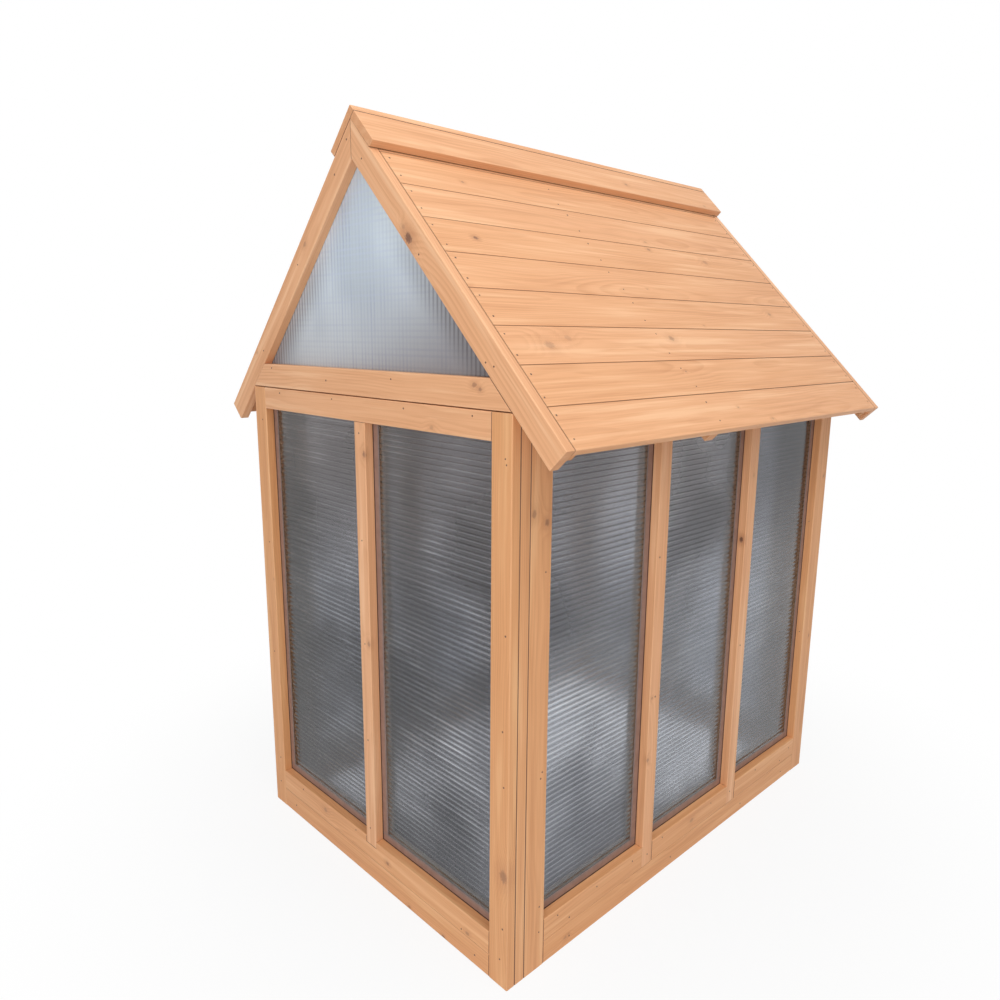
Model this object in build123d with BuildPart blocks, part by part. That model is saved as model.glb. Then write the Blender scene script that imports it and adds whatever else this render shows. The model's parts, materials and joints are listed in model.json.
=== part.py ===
from build123d import *
import os
from math import cos, radians, sin, tan

# Small timber greenhouse with twin-wall polycarbonate glazing and a boarded gable roof.
# Millimetres. X runs across the gables, Y along the ridge with the door at +Y, Z is up.
# The origin is on the ground, at the middle of the four walls.

# The four walls
wall_width = 886.0
wall_length = 1200.0
wall_height = 1100.0
frame_thickness = 21.0
frame_width = 50.0
side_stile_width = 55.0
sill_height = 50.0
kickboard_height = 50.0
mullion_width = 37.0
lap_depth = 10.5
front_lap_height = 15.0
side_pane_count = 3
corner_post_width = 30.0
corner_post_depth = 25.0
eased_edge = 1.2

# Twin-wall polycarbonate
sheet_thickness = 8.0
skin_thickness = 0.6
rib_thickness = 0.6
flute_pitch = 11.4
sheet_lap = 25.0
sheet_clearance = 1.0
batten_depth = 24.0
door_batten_depth = 16.0
batten_gap = 0.5

# Roof
roof_pitch = 45.5
barge_depth = 50.0
roof_board_cover = 89.0
roof_board_count = 9
roof_board_thickness = 14.0
roof_board_gap = 0.6
board_bevel = 1.4
tongue_length = 6.0
tongue_thickness = 4.0
tongue_clearance = 0.4
ridge_gap = 0.3
inner_rafter_depth = 22.0
inner_rafter_width = 25.0
mid_rafter_depth = 28.0
mid_rafter_width = 28.0
mid_rafter_place = 455.0
rafter_setback = 6.0
cap_cover = 84.0
cap_thickness = 17.0
gable_rail_height = 53.0
roof_gap = 2.0

# Door in the rear wall
rear_inset = 6.0
jamb_width = 45.0
door_thickness = 20.0
door_gap = 3.0
door_foot_gap = 4.0
door_stile_width = 50.0
door_sheet_lap = 18.0
stop_thickness = 13.0
stop_height = 52.0
stop_reach = 12.0

# Butt hinges
hinge_height = 60.0
hinge_plate_width = 30.0
hinge_plate_thickness = 1.6
hinge_end_distance = 190.0
knuckle_radius = 4.0
knuckle_clearance = 0.3
hinge_pin_radius = 2.2
hinge_pin_clearance = 0.05

# Wooden pull, undercut for the fingers
pull_height = 640.0
pull_length = 110.0
pull_width = 26.0
pull_foot_width = 17.0
pull_lip = 8.0
pull_reach = 22.0
pull_end_slope = 5.0

# Slide bolt of square rod
bolt_below_pull = 40.0
bolt_plate_width = 46.0
bolt_plate_height = 30.0
bolt_plate_thickness = 1.5
bolt_size = 7.0
bolt_clearance = 0.1
bolt_length = 62.0
bolt_throw = 16.0
bolt_tip_setback = 1.0
bolt_nose = 1.5
staple_width = 8.0
staple_wall = 1.8
staple_corner = 1.3
staple_margin = 1.0
lug_thickness = 4.0
lug_reach = 9.0
lug_corner = 1.5
lug_gap = 1.5
keeper_width = 11.0
keeper_reserve = 2.0

# Places that the pieces share
half_width = wall_width / 2
front_face = -wall_length / 2
rear_face = wall_length / 2
front_back = front_face + frame_thickness
post_back = front_back + corner_post_depth
side_middle = half_width - frame_thickness / 2
side_inner = half_width - frame_thickness
pane_foot = sill_height + kickboard_height
pane_head = wall_height - frame_width
sheet_foot = pane_foot - sheet_lap
sheet_head = pane_head + sheet_lap
pitch = radians(roof_pitch)
ridge_height = wall_height + half_width * tan(pitch) + barge_depth / cos(pitch)
slope_length = roof_board_count * roof_board_cover
rear_barge_back = rear_face - frame_thickness
door_face = rear_face - rear_inset
jamb_back = door_face - frame_thickness
leaf_back = door_face - door_thickness
opening_half = side_inner - jamb_width
leaf_half = opening_half - door_gap
leaf_foot = sill_height + door_foot_gap
leaf_head = pane_head - door_gap

pieces = {}


def keep(name, piece):
    """Label a finished piece and keep it under its node's name."""
    piece.part.label = name
    pieces[name] = piece.part


def gable_plane(y):
    """Plane across the house at y: its x is X, its y is Z, and an extrusion runs towards the front."""
    return Plane(origin=(0, y, 0), x_dir=(1, 0, 0), z_dir=(0, -1, 0))


def slope_plane(y):
    """Plane across the house at y: its x runs down the right slope, its y stands square off the roof."""
    return Plane(origin=(0, y, ridge_height), x_dir=(cos(pitch), 0, -sin(pitch)), z_dir=(0, -1, 0))


def under_roof(depth):
    """Plane parallel to the right slope, the given depth under its top face, facing up."""
    return Plane(origin=(0, 0, height_under_roof(0, depth)), z_dir=(sin(pitch), 0, cos(pitch)))


def height_under_roof(x, depth):
    """Height of that plane above the point x on the ground."""
    return ridge_height - depth / cos(pitch) - x * tan(pitch)


def width_under_roof(z, depth):
    """Distance from the middle of the house to that plane at the height z."""
    return (ridge_height - depth / cos(pitch) - z) / tan(pitch)


def plumb(depth, gap=0.0):
    """Distance down the slope to the upright cut at the ridge, at a depth under the roof's top face."""
    return (gap + depth * sin(pitch)) / cos(pitch)


def upright(x, y, width, depth, foot, head):
    """Planed board standing upright, with eased long edges."""
    with BuildPart() as piece:
        with BuildSketch(Plane.XY.offset(foot)):
            with Locations((x, y)):
                Rectangle(width, depth)
            chamfer(vertices(), eased_edge)
        extrude(amount=head - foot)
    return piece


def across(half_length, y, depth, foot, head):
    """Planed board lying along X, centred on the house, with eased long edges."""
    with BuildPart() as piece:
        with BuildSketch(Plane.YZ.offset(-half_length)):
            with Locations((y, (foot + head) / 2)):
                Rectangle(depth, head - foot)
            chamfer(vertices(), eased_edge)
        extrude(amount=2 * half_length)
    return piece


def along(start, end, foot, head):
    """Planed board of the right wall, lying along Y, with eased long edges."""
    with BuildPart() as piece:
        with BuildSketch(gable_plane(end)):
            with Locations((side_middle, (foot + head) / 2)):
                Rectangle(frame_thickness, head - foot)
            chamfer(vertices(), eased_edge)
        extrude(amount=end - start)
    return piece


def housed(board, size, places, alignment):
    """The board with a housing of that size cut at each place for the tail of a mullion."""
    with BuildPart() as piece:
        add(board.part)
        with Locations(*places):
            Box(*size, align=alignment, mode=Mode.SUBTRACT)
    return piece


def bevelled(board, depth):
    """The board with its head cut along the right slope, at a depth under the roof's top face."""
    with BuildPart() as piece:
        add(board.part)
        split(bisect_by=under_roof(depth), keep=Keep.BOTTOM)
    return piece


def mirrored(source):
    """The same piece on the left side."""
    with BuildPart() as piece:
        mirror(source.part, about=Plane.YZ)
    return piece


def both_sides(source):
    """The piece and the same piece on the left side, as one node."""
    with BuildPart() as piece:
        add(source.part)
        mirror(source.part, about=Plane.YZ)
    return piece


def flute_places(span):
    """Middles of the flutes that fit in a span, with a rib in its middle and a wall at each end."""
    count = 2 * int((span - rib_thickness) / flute_pitch / 2)
    return [(i - (count - 1) / 2) * flute_pitch for i in range(count)]


def fluted_sheet(plane, height, length):
    """Twin-wall sheet: its section stands on the plane and is extruded along the flutes."""
    with BuildPart() as piece:
        with BuildSketch(plane):
            Rectangle(sheet_thickness, height)
            with Locations(*[(0, place) for place in flute_places(height)]):
                Rectangle(
                    sheet_thickness - 2 * skin_thickness,
                    flute_pitch - rib_thickness,
                    mode=Mode.SUBTRACT,
                )
        extrude(amount=length)
    return piece


def battens(plane, depth, outer_half, inner_half, heights, places):
    """Strips that clamp a sheet from inside: one along each edge, and one behind each mullion."""
    foot, pane_low, pane_top, head = heights
    pane_middle = (pane_low + pane_top) / 2
    edge_middle = (outer_half + inner_half) / 2
    strip_length = pane_top - pane_low - 2 * batten_gap
    with BuildPart() as piece:
        with BuildSketch(plane):
            with Locations((0, (foot + pane_low) / 2)):
                Rectangle(2 * outer_half, pane_low - foot)
            with Locations((0, (pane_top + head) / 2)):
                Rectangle(2 * outer_half, head - pane_top)
            with Locations((-edge_middle, pane_middle), (edge_middle, pane_middle)):
                Rectangle(outer_half - inner_half, strip_length)
            with Locations(*[(place, pane_middle) for place in places]):
                Rectangle(mullion_width, strip_length)
        extrude(amount=depth)
    return piece


def sloped_board(y, thickness, top, bottom, end, gap=0.0):
    """Board that follows the right slope from an upright cut at the ridge to a square end."""
    with BuildPart() as piece:
        with BuildSketch(slope_plane(y)):
            with BuildLine():
                Polyline(
                    (plumb(top, gap), -top),
                    (end, -top),
                    (end, -bottom),
                    (plumb(bottom, gap), -bottom),
                    close=True,
                )
            make_face()
        extrude(amount=thickness)
        down_slope = Axis((0, 0, 0), (cos(pitch), 0, -sin(pitch)))
        chamfer(piece.edges().filter_by(down_slope), eased_edge)
    return piece


def gable_rail(y, reach):
    """Rail between the feet of two barge boards, with its ends cut on the slope."""
    foot = wall_height + roof_gap
    head = foot + gable_rail_height
    foot_half = width_under_roof(foot, barge_depth)
    head_half = width_under_roof(head, barge_depth)
    with BuildPart() as piece:
        with BuildSketch(gable_plane(y)):
            with BuildLine():
                Polyline(
                    (-foot_half, foot),
                    (foot_half, foot),
                    (head_half, head),
                    (-head_half, head),
                    close=True,
                )
            make_face()
            with Locations((0, (foot + head) / 2)):
                Rectangle(2 * reach, gable_rail_height, mode=Mode.INTERSECT)
        extrude(amount=frame_thickness)
        chamfer(piece.edges().filter_by(Axis.X), eased_edge)
    return piece


def gable_sheet(y):
    """Triangular twin-wall sheet with upright flutes, cut to the rafters and the corner posts."""
    top = roof_board_thickness + inner_rafter_depth + sheet_clearance
    foot = wall_height + roof_gap + gable_rail_height - sheet_lap
    reach = half_width - corner_post_width - sheet_clearance
    apex = height_under_roof(0, top)
    with BuildPart() as piece:
        with BuildSketch(gable_plane(y)):
            with BuildLine():
                Polyline((-reach, foot), (reach, foot), (reach, apex), (-reach, apex), close=True)
            make_face()
        extrude(amount=sheet_thickness)
        with BuildSketch(Plane.XY.offset(foot)):
            with Locations(*[(place, y - sheet_thickness / 2) for place in flute_places(2 * reach)]):
                Rectangle(flute_pitch - rib_thickness, sheet_thickness - 2 * skin_thickness)
        extrude(amount=apex - foot, mode=Mode.SUBTRACT)
        right_slope = under_roof(top)
        split(bisect_by=right_slope, keep=Keep.BOTTOM)
        left_slope = Plane(origin=right_slope.origin, z_dir=(-sin(pitch), 0, cos(pitch)))
        split(bisect_by=left_slope, keep=Keep.BOTTOM)
    return piece


# Front wall: an outer frame with the sheet and the corner posts behind it
front_middle = front_face + frame_thickness / 2
front_half = half_width - frame_width
front_stile_x = half_width - frame_width / 2
front_stile = upright(front_stile_x, front_middle, frame_width, frame_thickness, 0, wall_height)
keep("front_stile_right", front_stile)
keep("front_stile_left", mirrored(front_stile))
keep("front_top_rail", across(front_half, front_middle, frame_thickness, pane_head, wall_height))
keep("front_sill", across(front_half, front_middle, frame_thickness, 0, sill_height))
front_kickboard = housed(
    across(front_half, front_middle, frame_thickness, sill_height, pane_foot),
    (mullion_width, lap_depth, front_lap_height),
    [(0, front_face, pane_foot)],
    (Align.CENTER, Align.MIN, Align.MAX),
)
keep("front_kickboard", front_kickboard)
front_mullion = housed(
    upright(0, front_middle, mullion_width, frame_thickness, pane_foot - front_lap_height, pane_head),
    (mullion_width, frame_thickness - lap_depth, front_lap_height),
    [(0, front_back, pane_foot)],
    (Align.CENTER, Align.MAX, Align.MAX),
)
keep("front_mullion", front_mullion)

front_sheet_half = half_width - corner_post_width - sheet_clearance
front_sheet_plane = Plane(
    origin=(-front_sheet_half, front_back + sheet_thickness / 2, (sheet_foot + sheet_head) / 2),
    x_dir=(0, 1, 0),
    z_dir=(1, 0, 0),
)
keep("front_sheet", fluted_sheet(front_sheet_plane, sheet_head - sheet_foot, 2 * front_sheet_half))

post_head_depth = roof_board_thickness + inner_rafter_depth
corner_post = bevelled(
    upright(
        half_width - corner_post_width / 2,
        front_back + corner_post_depth / 2,
        corner_post_width,
        corner_post_depth,
        0,
        height_under_roof(half_width - corner_post_width, post_head_depth),
    ),
    post_head_depth,
)
keep("corner_post_right", corner_post)
keep("corner_post_left", mirrored(corner_post))


# Long walls: built on the right, then mirrored
side_start = post_back + side_stile_width
side_end = rear_face - side_stile_width
mullion_count = side_pane_count - 1
pane_width = (side_end - side_start - mullion_count * mullion_width) / side_pane_count
mullion_step = pane_width + mullion_width
mullion_places = [side_start - mullion_width / 2 + i * mullion_step for i in range(1, side_pane_count)]

side_walls = {}
side_walls["front_stile"] = upright(
    side_middle, side_start - side_stile_width / 2, frame_thickness, side_stile_width, 0, wall_height
)
side_walls["rear_stile"] = bevelled(
    upright(
        side_middle,
        side_end + side_stile_width / 2,
        frame_thickness,
        side_stile_width,
        0,
        height_under_roof(side_inner, barge_depth),
    ),
    barge_depth,
)
mid_rafter_foot = roof_board_thickness + mid_rafter_depth
side_walls["top_rail"] = bevelled(
    along(side_start, side_end, pane_head, height_under_roof(side_inner, mid_rafter_foot)), mid_rafter_foot
)
side_walls["sill"] = along(side_start, side_end, 0, sill_height)
side_walls["kickboard"] = housed(
    along(side_start, side_end, sill_height, pane_foot),
    (lap_depth, mullion_width, kickboard_height),
    [(half_width, place, pane_foot) for place in mullion_places],
    (Align.MAX, Align.CENTER, Align.MAX),
)
for number, place in enumerate(mullion_places, start=1):
    side_walls[f"mullion_{number}"] = housed(
        upright(side_middle, place, frame_thickness, mullion_width, sill_height, pane_head),
        (frame_thickness - lap_depth, mullion_width, kickboard_height),
        [(side_inner, place, pane_foot)],
        (Align.MIN, Align.CENTER, Align.MAX),
    )
side_sheet_end = side_end + sheet_lap
side_sheet_plane = gable_plane(side_sheet_end) * Location(
    (side_inner - sheet_thickness / 2, (sheet_foot + sheet_head) / 2, 0)
)
side_walls["sheet"] = fluted_sheet(
    side_sheet_plane, sheet_head - sheet_foot, side_sheet_end - side_start + sheet_lap
)
for name, piece in side_walls.items():
    keep(f"right_{name}", piece)
    keep(f"left_{name}", mirrored(piece))


# Battens on the inner faces of the wall sheets
pane_heights = (sheet_foot, pane_foot, pane_head, sheet_head)
front_batten_plane = Plane(
    origin=(0, front_back + sheet_thickness, 0), x_dir=(-1, 0, 0), z_dir=(0, 1, 0)
)
front_battens = battens(front_batten_plane, batten_depth, front_sheet_half, front_half, pane_heights, [0])
side_sheet_middle = side_sheet_end - (side_sheet_end - side_start + sheet_lap) / 2
side_batten_plane = Plane(
    origin=(side_inner - sheet_thickness, side_sheet_middle, 0), x_dir=(0, -1, 0), z_dir=(-1, 0, 0)
)
side_battens = battens(
    side_batten_plane,
    batten_depth,
    side_sheet_end - side_sheet_middle,
    side_end - side_sheet_middle,
    pane_heights,
    [side_sheet_middle - place for place in mullion_places],
)
with BuildPart() as glazing_battens:
    add(front_battens.part)
    add(both_sides(side_battens).part)
keep("glazing_battens", glazing_battens)


# Gables: barge boards mitred at the ridge, a rail between their feet, a sheet behind
for gable, barge_end, sheet_end, rail_reach in (
    ("front", front_back, front_back + sheet_thickness, half_width),
    ("rear", rear_face, rear_barge_back, side_inner - sheet_clearance),
):
    barge = sloped_board(barge_end, frame_thickness, 0, barge_depth, slope_length)
    keep(f"{gable}_barge_right", barge)
    keep(f"{gable}_barge_left", mirrored(barge))
    keep(f"{gable}_gable_rail", gable_rail(barge_end, rail_reach))
    keep(f"{gable}_gable_sheet", gable_sheet(sheet_end))


# Rafters: a pair against each pair of barge boards, and one pair that rests on the long walls
rafter_end = slope_length - rafter_setback
for gable, rafter_plane in (
    ("front", front_back + inner_rafter_width),
    ("rear", rear_barge_back),
):
    inner_rafter = sloped_board(
        rafter_plane, inner_rafter_width, roof_board_thickness, post_head_depth, rafter_end, ridge_gap
    )
    keep(f"{gable}_inner_rafters", both_sides(inner_rafter))

mid_rafter = sloped_board(
    front_face + mid_rafter_place + mid_rafter_width / 2,
    mid_rafter_width,
    roof_board_thickness,
    mid_rafter_foot,
    rafter_end,
    ridge_gap,
)
keep("mid_rafters", both_sides(mid_rafter))


def roof_board_outline(index):
    """Section of one roof board, with its tongue up the slope and its groove down the slope."""
    upper = index * roof_board_cover + roof_board_gap / 2
    lower = (index + 1) * roof_board_cover - roof_board_gap / 2
    middle = -roof_board_thickness / 2
    tongue = tongue_thickness / 2
    groove = tongue + tongue_clearance
    groove_end = lower - tongue_length - tongue_clearance
    if index == 0:
        head = [(plumb(roof_board_thickness, ridge_gap), -roof_board_thickness), (plumb(0, ridge_gap), 0)]
    else:
        head = [
            (upper, -roof_board_thickness),
            (upper, middle - tongue),
            (upper - tongue_length, middle - tongue),
            (upper - tongue_length, middle + tongue),
            (upper, middle + tongue),
            (upper, -board_bevel),
            (upper + board_bevel, 0),
        ]
    if index == roof_board_count - 1:
        foot = [
            (slope_length - board_bevel, 0),
            (slope_length, -board_bevel),
            (slope_length, -roof_board_thickness),
        ]
    else:
        foot = [
            (lower - board_bevel, 0),
            (lower, -board_bevel),
            (lower, middle + groove),
            (groove_end, middle + groove),
            (groove_end, middle - groove),
            (lower, middle - groove),
            (lower, -roof_board_thickness),
        ]
    return head + foot


# Roof boards lie between the barge boards, flush with their top edges
boards_end = rear_barge_back - roof_board_gap
with BuildPart() as roof_boards:
    with BuildSketch(slope_plane(boards_end)):
        for board in range(roof_board_count):
            with BuildLine():
                Polyline(*roof_board_outline(board), close=True)
            make_face()
    extrude(amount=boards_end - front_back - roof_board_gap)
keep("roof_boards_right", roof_boards)
keep("roof_boards_left", mirrored(roof_boards))


# Ridge cap: the left board laps over the top edge of the right one
ridge_angle = 2 * pitch
with BuildPart() as right_cap:
    with BuildSketch(slope_plane(rear_face)):
        with BuildLine():
            Polyline(
                (0, 0),
                (cap_cover, 0),
                (cap_cover, cap_thickness),
                (cap_thickness / tan(ridge_angle), cap_thickness),
                close=True,
            )
        make_face()
        chamfer(vertices(), eased_edge)
    extrude(amount=wall_length)
keep("ridge_cap_right", right_cap)

with BuildPart() as lapping_cap:
    with BuildSketch(slope_plane(rear_face)):
        with BuildLine():
            Polyline(
                (-cap_thickness / sin(ridge_angle), 0),
                (cap_cover, 0),
                (cap_cover, cap_thickness),
                (-cap_thickness * tan(pitch), cap_thickness),
                close=True,
            )
        make_face()
        chamfer(vertices(), eased_edge)
    extrude(amount=wall_length)
keep("ridge_cap_left", mirrored(lapping_cap))


# Door frame between the long walls
jamb_middle = door_face - frame_thickness / 2
jamb = upright(opening_half + jamb_width / 2, jamb_middle, jamb_width, frame_thickness, 0, wall_height)
keep("jamb_right", jamb)
keep("jamb_left", mirrored(jamb))
keep("door_header", across(opening_half, jamb_middle, frame_thickness, pane_head, wall_height))
keep("door_threshold", across(opening_half, jamb_middle, frame_thickness, 0, sill_height))
stop_foot = pane_head - stop_reach
keep(
    "door_stop",
    across(opening_half, jamb_back - stop_thickness / 2, stop_thickness, stop_foot, stop_foot + stop_height),
)


# Door leaf, hung at +X
leaf_middle = door_face - door_thickness / 2
leaf_pane_half = leaf_half - door_stile_width
leaf_pane_head = leaf_head - frame_width
for name, side in (("door_hinge_stile", 1), ("door_latch_stile", -1)):
    stile_x = side * (leaf_half - door_stile_width / 2)
    keep(name, upright(stile_x, leaf_middle, door_stile_width, door_thickness, leaf_foot, leaf_head))
keep("door_top_rail", across(leaf_pane_half, leaf_middle, door_thickness, leaf_pane_head, leaf_head))
door_bottom_rail = housed(
    across(leaf_pane_half, leaf_middle, door_thickness, leaf_foot, pane_foot),
    (mullion_width, lap_depth, front_lap_height),
    [(0, door_face, pane_foot)],
    (Align.CENTER, Align.MAX, Align.MAX),
)
keep("door_bottom_rail", door_bottom_rail)
door_mullion = housed(
    upright(0, leaf_middle, mullion_width, door_thickness, pane_foot - front_lap_height, leaf_pane_head),
    (mullion_width, door_thickness - lap_depth, front_lap_height),
    [(0, leaf_back, pane_foot)],
    (Align.CENTER, Align.MIN, Align.MAX),
)
keep("door_mullion", door_mullion)
door_sheet_half = leaf_pane_half + door_sheet_lap
door_sheet_head = leaf_pane_head + door_sheet_lap
door_sheet_plane = Plane(
    origin=(-door_sheet_half, leaf_back - sheet_thickness / 2, (sheet_foot + door_sheet_head) / 2),
    x_dir=(0, 1, 0),
    z_dir=(1, 0, 0),
)
keep("door_sheet", fluted_sheet(door_sheet_plane, door_sheet_head - sheet_foot, 2 * door_sheet_half))
door_battens = battens(
    gable_plane(leaf_back - sheet_thickness),
    door_batten_depth,
    door_sheet_half,
    leaf_pane_half,
    (sheet_foot, pane_foot, leaf_pane_head, door_sheet_head),
    [0],
)
keep("door_battens", door_battens)


# Butt hinges on the outer faces of the jamb and the door
hinge_x = opening_half - door_gap / 2
hinge_y = door_face + knuckle_radius + knuckle_clearance
hinge_feet = (
    leaf_foot + hinge_end_distance - hinge_height / 2,
    leaf_head - hinge_end_distance - hinge_height / 2,
)
knuckle_height = hinge_height / 3


def hinge_plates(side, knuckles):
    """Plate of each hinge on one side of the pin, rolled into knuckles at the given thirds of its height."""
    neck = knuckle_radius + knuckle_clearance
    plate_length = hinge_plate_width - neck
    plate_y = door_face + hinge_plate_thickness / 2
    with BuildPart() as piece:
        for foot in hinge_feet:
            with BuildSketch(Plane.XY.offset(foot)):
                with Locations((hinge_x + side * (neck + plate_length / 2), plate_y)):
                    Rectangle(plate_length, hinge_plate_thickness)
            extrude(amount=hinge_height)
            for third in knuckles:
                start = foot + third * knuckle_height + knuckle_clearance
                with BuildSketch(Plane.XY.offset(start)):
                    with Locations((hinge_x, hinge_y)):
                        Circle(knuckle_radius)
                    with Locations((hinge_x + side * neck / 2, plate_y)):
                        Rectangle(neck, hinge_plate_thickness)
                    with Locations((hinge_x, hinge_y)):
                        Circle(hinge_pin_radius + hinge_pin_clearance, mode=Mode.SUBTRACT)
                extrude(amount=knuckle_height - 2 * knuckle_clearance)
    return piece


keep("hinge_plates_jamb", hinge_plates(1, (0, 2)))
keep("hinge_plates_door", hinge_plates(-1, (1,)))

with BuildPart() as hinge_pins:
    for foot in hinge_feet:
        with BuildSketch(Plane.XY.offset(foot)):
            with Locations((hinge_x, hinge_y)):
                Circle(hinge_pin_radius)
        extrude(amount=hinge_height)
keep("hinge_pins", hinge_pins)


# Wooden pull on the latch stile
latch_x = -leaf_half + door_stile_width / 2
pull_foot = pull_height - pull_length / 2
with BuildPart() as door_pull:
    with BuildSketch(Plane.XY.offset(pull_foot)):
        with BuildLine(Location((latch_x, door_face))):
            Polyline(
                (-pull_foot_width / 2, 0),
                (pull_foot_width / 2, 0),
                (pull_width / 2, pull_reach - pull_lip),
                (pull_width / 2, pull_reach),
                (-pull_width / 2, pull_reach),
                (-pull_width / 2, pull_reach - pull_lip),
                close=True,
            )
        make_face()
    extrude(amount=pull_length)
    pull_front = door_pull.faces().sort_by(Axis.Y)[-1]
    chamfer(pull_front.edges().filter_by(Axis.X), pull_end_slope)
    pull_front = door_pull.faces().sort_by(Axis.Y)[-1]
    chamfer(pull_front.edges().filter_by(Axis.Z), eased_edge)
keep("door_pull", door_pull)


# Slide bolt: plate with two staples on the door, square rod, keeper on the jamb
bolt_height = pull_foot - bolt_below_pull - bolt_plate_height / 2
bolt_seat = door_face + bolt_plate_thickness
bolt_y = bolt_seat + bolt_clearance + bolt_size / 2
bore_size = bolt_size + 2 * bolt_clearance
staple_height = bore_size + staple_wall
staple_span = bore_size + 2 * staple_wall
staple_offset = bolt_plate_width / 2 - staple_margin - staple_width / 2


def bolt_fitting(x, width, staple_places, width_of_staple):
    """Plate with a square staple over the rod at each of the given places along X."""
    with BuildPart() as piece:
        with BuildSketch(Plane.YZ.offset(x - width / 2)):
            with Locations((door_face, bolt_height)):
                Rectangle(bolt_plate_thickness, bolt_plate_height, align=(Align.MIN, Align.CENTER))
        extrude(amount=width)
        for place in staple_places:
            with BuildSketch(Plane.YZ.offset(place - width_of_staple / 2)) as staple:
                with Locations((bolt_seat, bolt_height)):
                    Rectangle(staple_height, staple_span, align=(Align.MIN, Align.CENTER))
                    chamfer(staple.vertices().group_by(Axis.X)[-1], staple_corner)
                    Rectangle(bore_size, bore_size, align=(Align.MIN, Align.CENTER), mode=Mode.SUBTRACT)
            extrude(amount=width_of_staple)
    return piece


staple_places = (latch_x - staple_offset, latch_x + staple_offset)
keep("bolt_guides", bolt_fitting(latch_x, bolt_plate_width, staple_places, staple_width))

bolt_tip = -leaf_half + bolt_tip_setback
lug_x = latch_x + staple_offset - staple_width / 2 - lug_gap - lug_thickness / 2
with BuildPart() as bolt_rod:
    with BuildSketch(Plane.YZ.offset(bolt_tip)):
        with Locations((bolt_y, bolt_height)):
            Rectangle(bolt_size, bolt_size)
    extrude(amount=bolt_length)
    chamfer(bolt_rod.faces().sort_by(Axis.X)[0].edges(), bolt_nose)
    with BuildSketch(Plane.YZ.offset(lug_x - lug_thickness / 2)) as lug:
        with Locations((bolt_y, bolt_height)):
            Rectangle(bolt_size / 2 + lug_reach, bolt_size, align=(Align.MIN, Align.CENTER))
        chamfer(lug.vertices().group_by(Axis.X)[-1], lug_corner)
    extrude(amount=lug_thickness)
keep("bolt_rod", bolt_rod)

keeper_x = bolt_tip - bolt_throw - keeper_reserve + keeper_width / 2
keep("bolt_keeper", bolt_fitting(keeper_x, keeper_width, (keeper_x,), keeper_width))


os.makedirs("parts", exist_ok=True)
for name, part in pieces.items():
    export_step(part, f"parts/{name}.step")
print(len(pieces), "pieces")
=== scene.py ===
import functools
import json
import math
import random

import bmesh
import bpy
from bpy.props import FloatProperty, FloatVectorProperty, PointerProperty
from mathutils import Matrix, Quaternion, Vector
from mathutils.bvhtree import BVHTree


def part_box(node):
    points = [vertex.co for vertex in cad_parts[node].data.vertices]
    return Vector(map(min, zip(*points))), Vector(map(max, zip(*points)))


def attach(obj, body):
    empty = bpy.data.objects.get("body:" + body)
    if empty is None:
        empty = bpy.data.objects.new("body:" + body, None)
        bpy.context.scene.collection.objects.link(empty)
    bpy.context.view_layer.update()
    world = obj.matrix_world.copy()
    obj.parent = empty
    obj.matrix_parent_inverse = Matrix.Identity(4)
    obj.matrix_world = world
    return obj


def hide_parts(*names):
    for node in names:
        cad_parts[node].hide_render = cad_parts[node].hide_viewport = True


bl_info = {
    "name": "Timber greenhouse",
    "version": (1, 0, 0),
    "blender": (4, 5, 0),
    "location": "View3D > Sidebar > Greenhouse",
    "description": "Dresses a small greenhouse in fir boards, twin-wall glazing and ironmongery",
    "category": "Object",
}

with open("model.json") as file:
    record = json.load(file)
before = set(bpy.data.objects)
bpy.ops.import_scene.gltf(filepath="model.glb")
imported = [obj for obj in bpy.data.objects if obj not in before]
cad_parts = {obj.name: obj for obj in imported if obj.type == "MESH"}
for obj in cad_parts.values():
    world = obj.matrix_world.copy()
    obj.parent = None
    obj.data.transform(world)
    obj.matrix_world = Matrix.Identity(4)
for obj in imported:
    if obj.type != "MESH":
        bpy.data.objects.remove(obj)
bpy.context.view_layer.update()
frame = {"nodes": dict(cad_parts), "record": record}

SIDES = ("right", "left")
BODY_OF = {node: body for body, nodes in frame["record"]["behaviour"]["bodies"].items() for node in nodes}

WALL_FRAMES = ["front_top_rail", "front_sill", "front_kickboard", "front_mullion", "glazing_battens"]
WALL_FRAMES += [f"{piece}_{side}" for side in SIDES for piece in ("front_stile", "corner_post")]
WALL_FRAMES += [
    f"{side}_{piece}"
    for side in SIDES
    for piece in ("front_stile", "rear_stile", "top_rail", "sill", "kickboard", "mullion_1", "mullion_2")
]
GABLES = [
    f"{end}_{piece}"
    for end in ("front", "rear")
    for piece in ("barge_right", "barge_left", "gable_rail", "inner_rafters")
]
ROOF = [f"{piece}_{side}" for side in SIDES for piece in ("roof_boards", "ridge_cap")] + ["mid_rafters"]
DOORWAY = ["jamb_right", "jamb_left", "door_header", "door_threshold", "door_stop"]
DOOR = ["door_hinge_stile", "door_latch_stile", "door_top_rail", "door_bottom_rail", "door_mullion"]
DOOR += ["door_pull", "door_battens"]
BATTENS = ["glazing_battens", "door_battens"]
GABLE_SHEETS = ["front_gable_sheet", "rear_gable_sheet"]
IRONMONGERY = ["hinge_plates_jamb", "hinge_plates_door", "hinge_pins"]
IRONMONGERY += ["bolt_guides", "bolt_rod", "bolt_keeper"]

# Roof slopes: top of the ridge, pitch, boards on each slope, and the rows of nails in them
RIDGE_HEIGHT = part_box("front_barge_right")[1].z
PITCH = math.radians(45.5)
ROOF_BOARD_COVER = 0.089
ROOF_BOARD_COUNT = 9
ROOF_NAIL_ROWS = (-0.568, -0.135, 0.566)
ROOF_NAIL_STEPS = (0.019, 0.069)
ROOF_NAIL_DRIFT = (0.003, 0.004)

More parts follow.
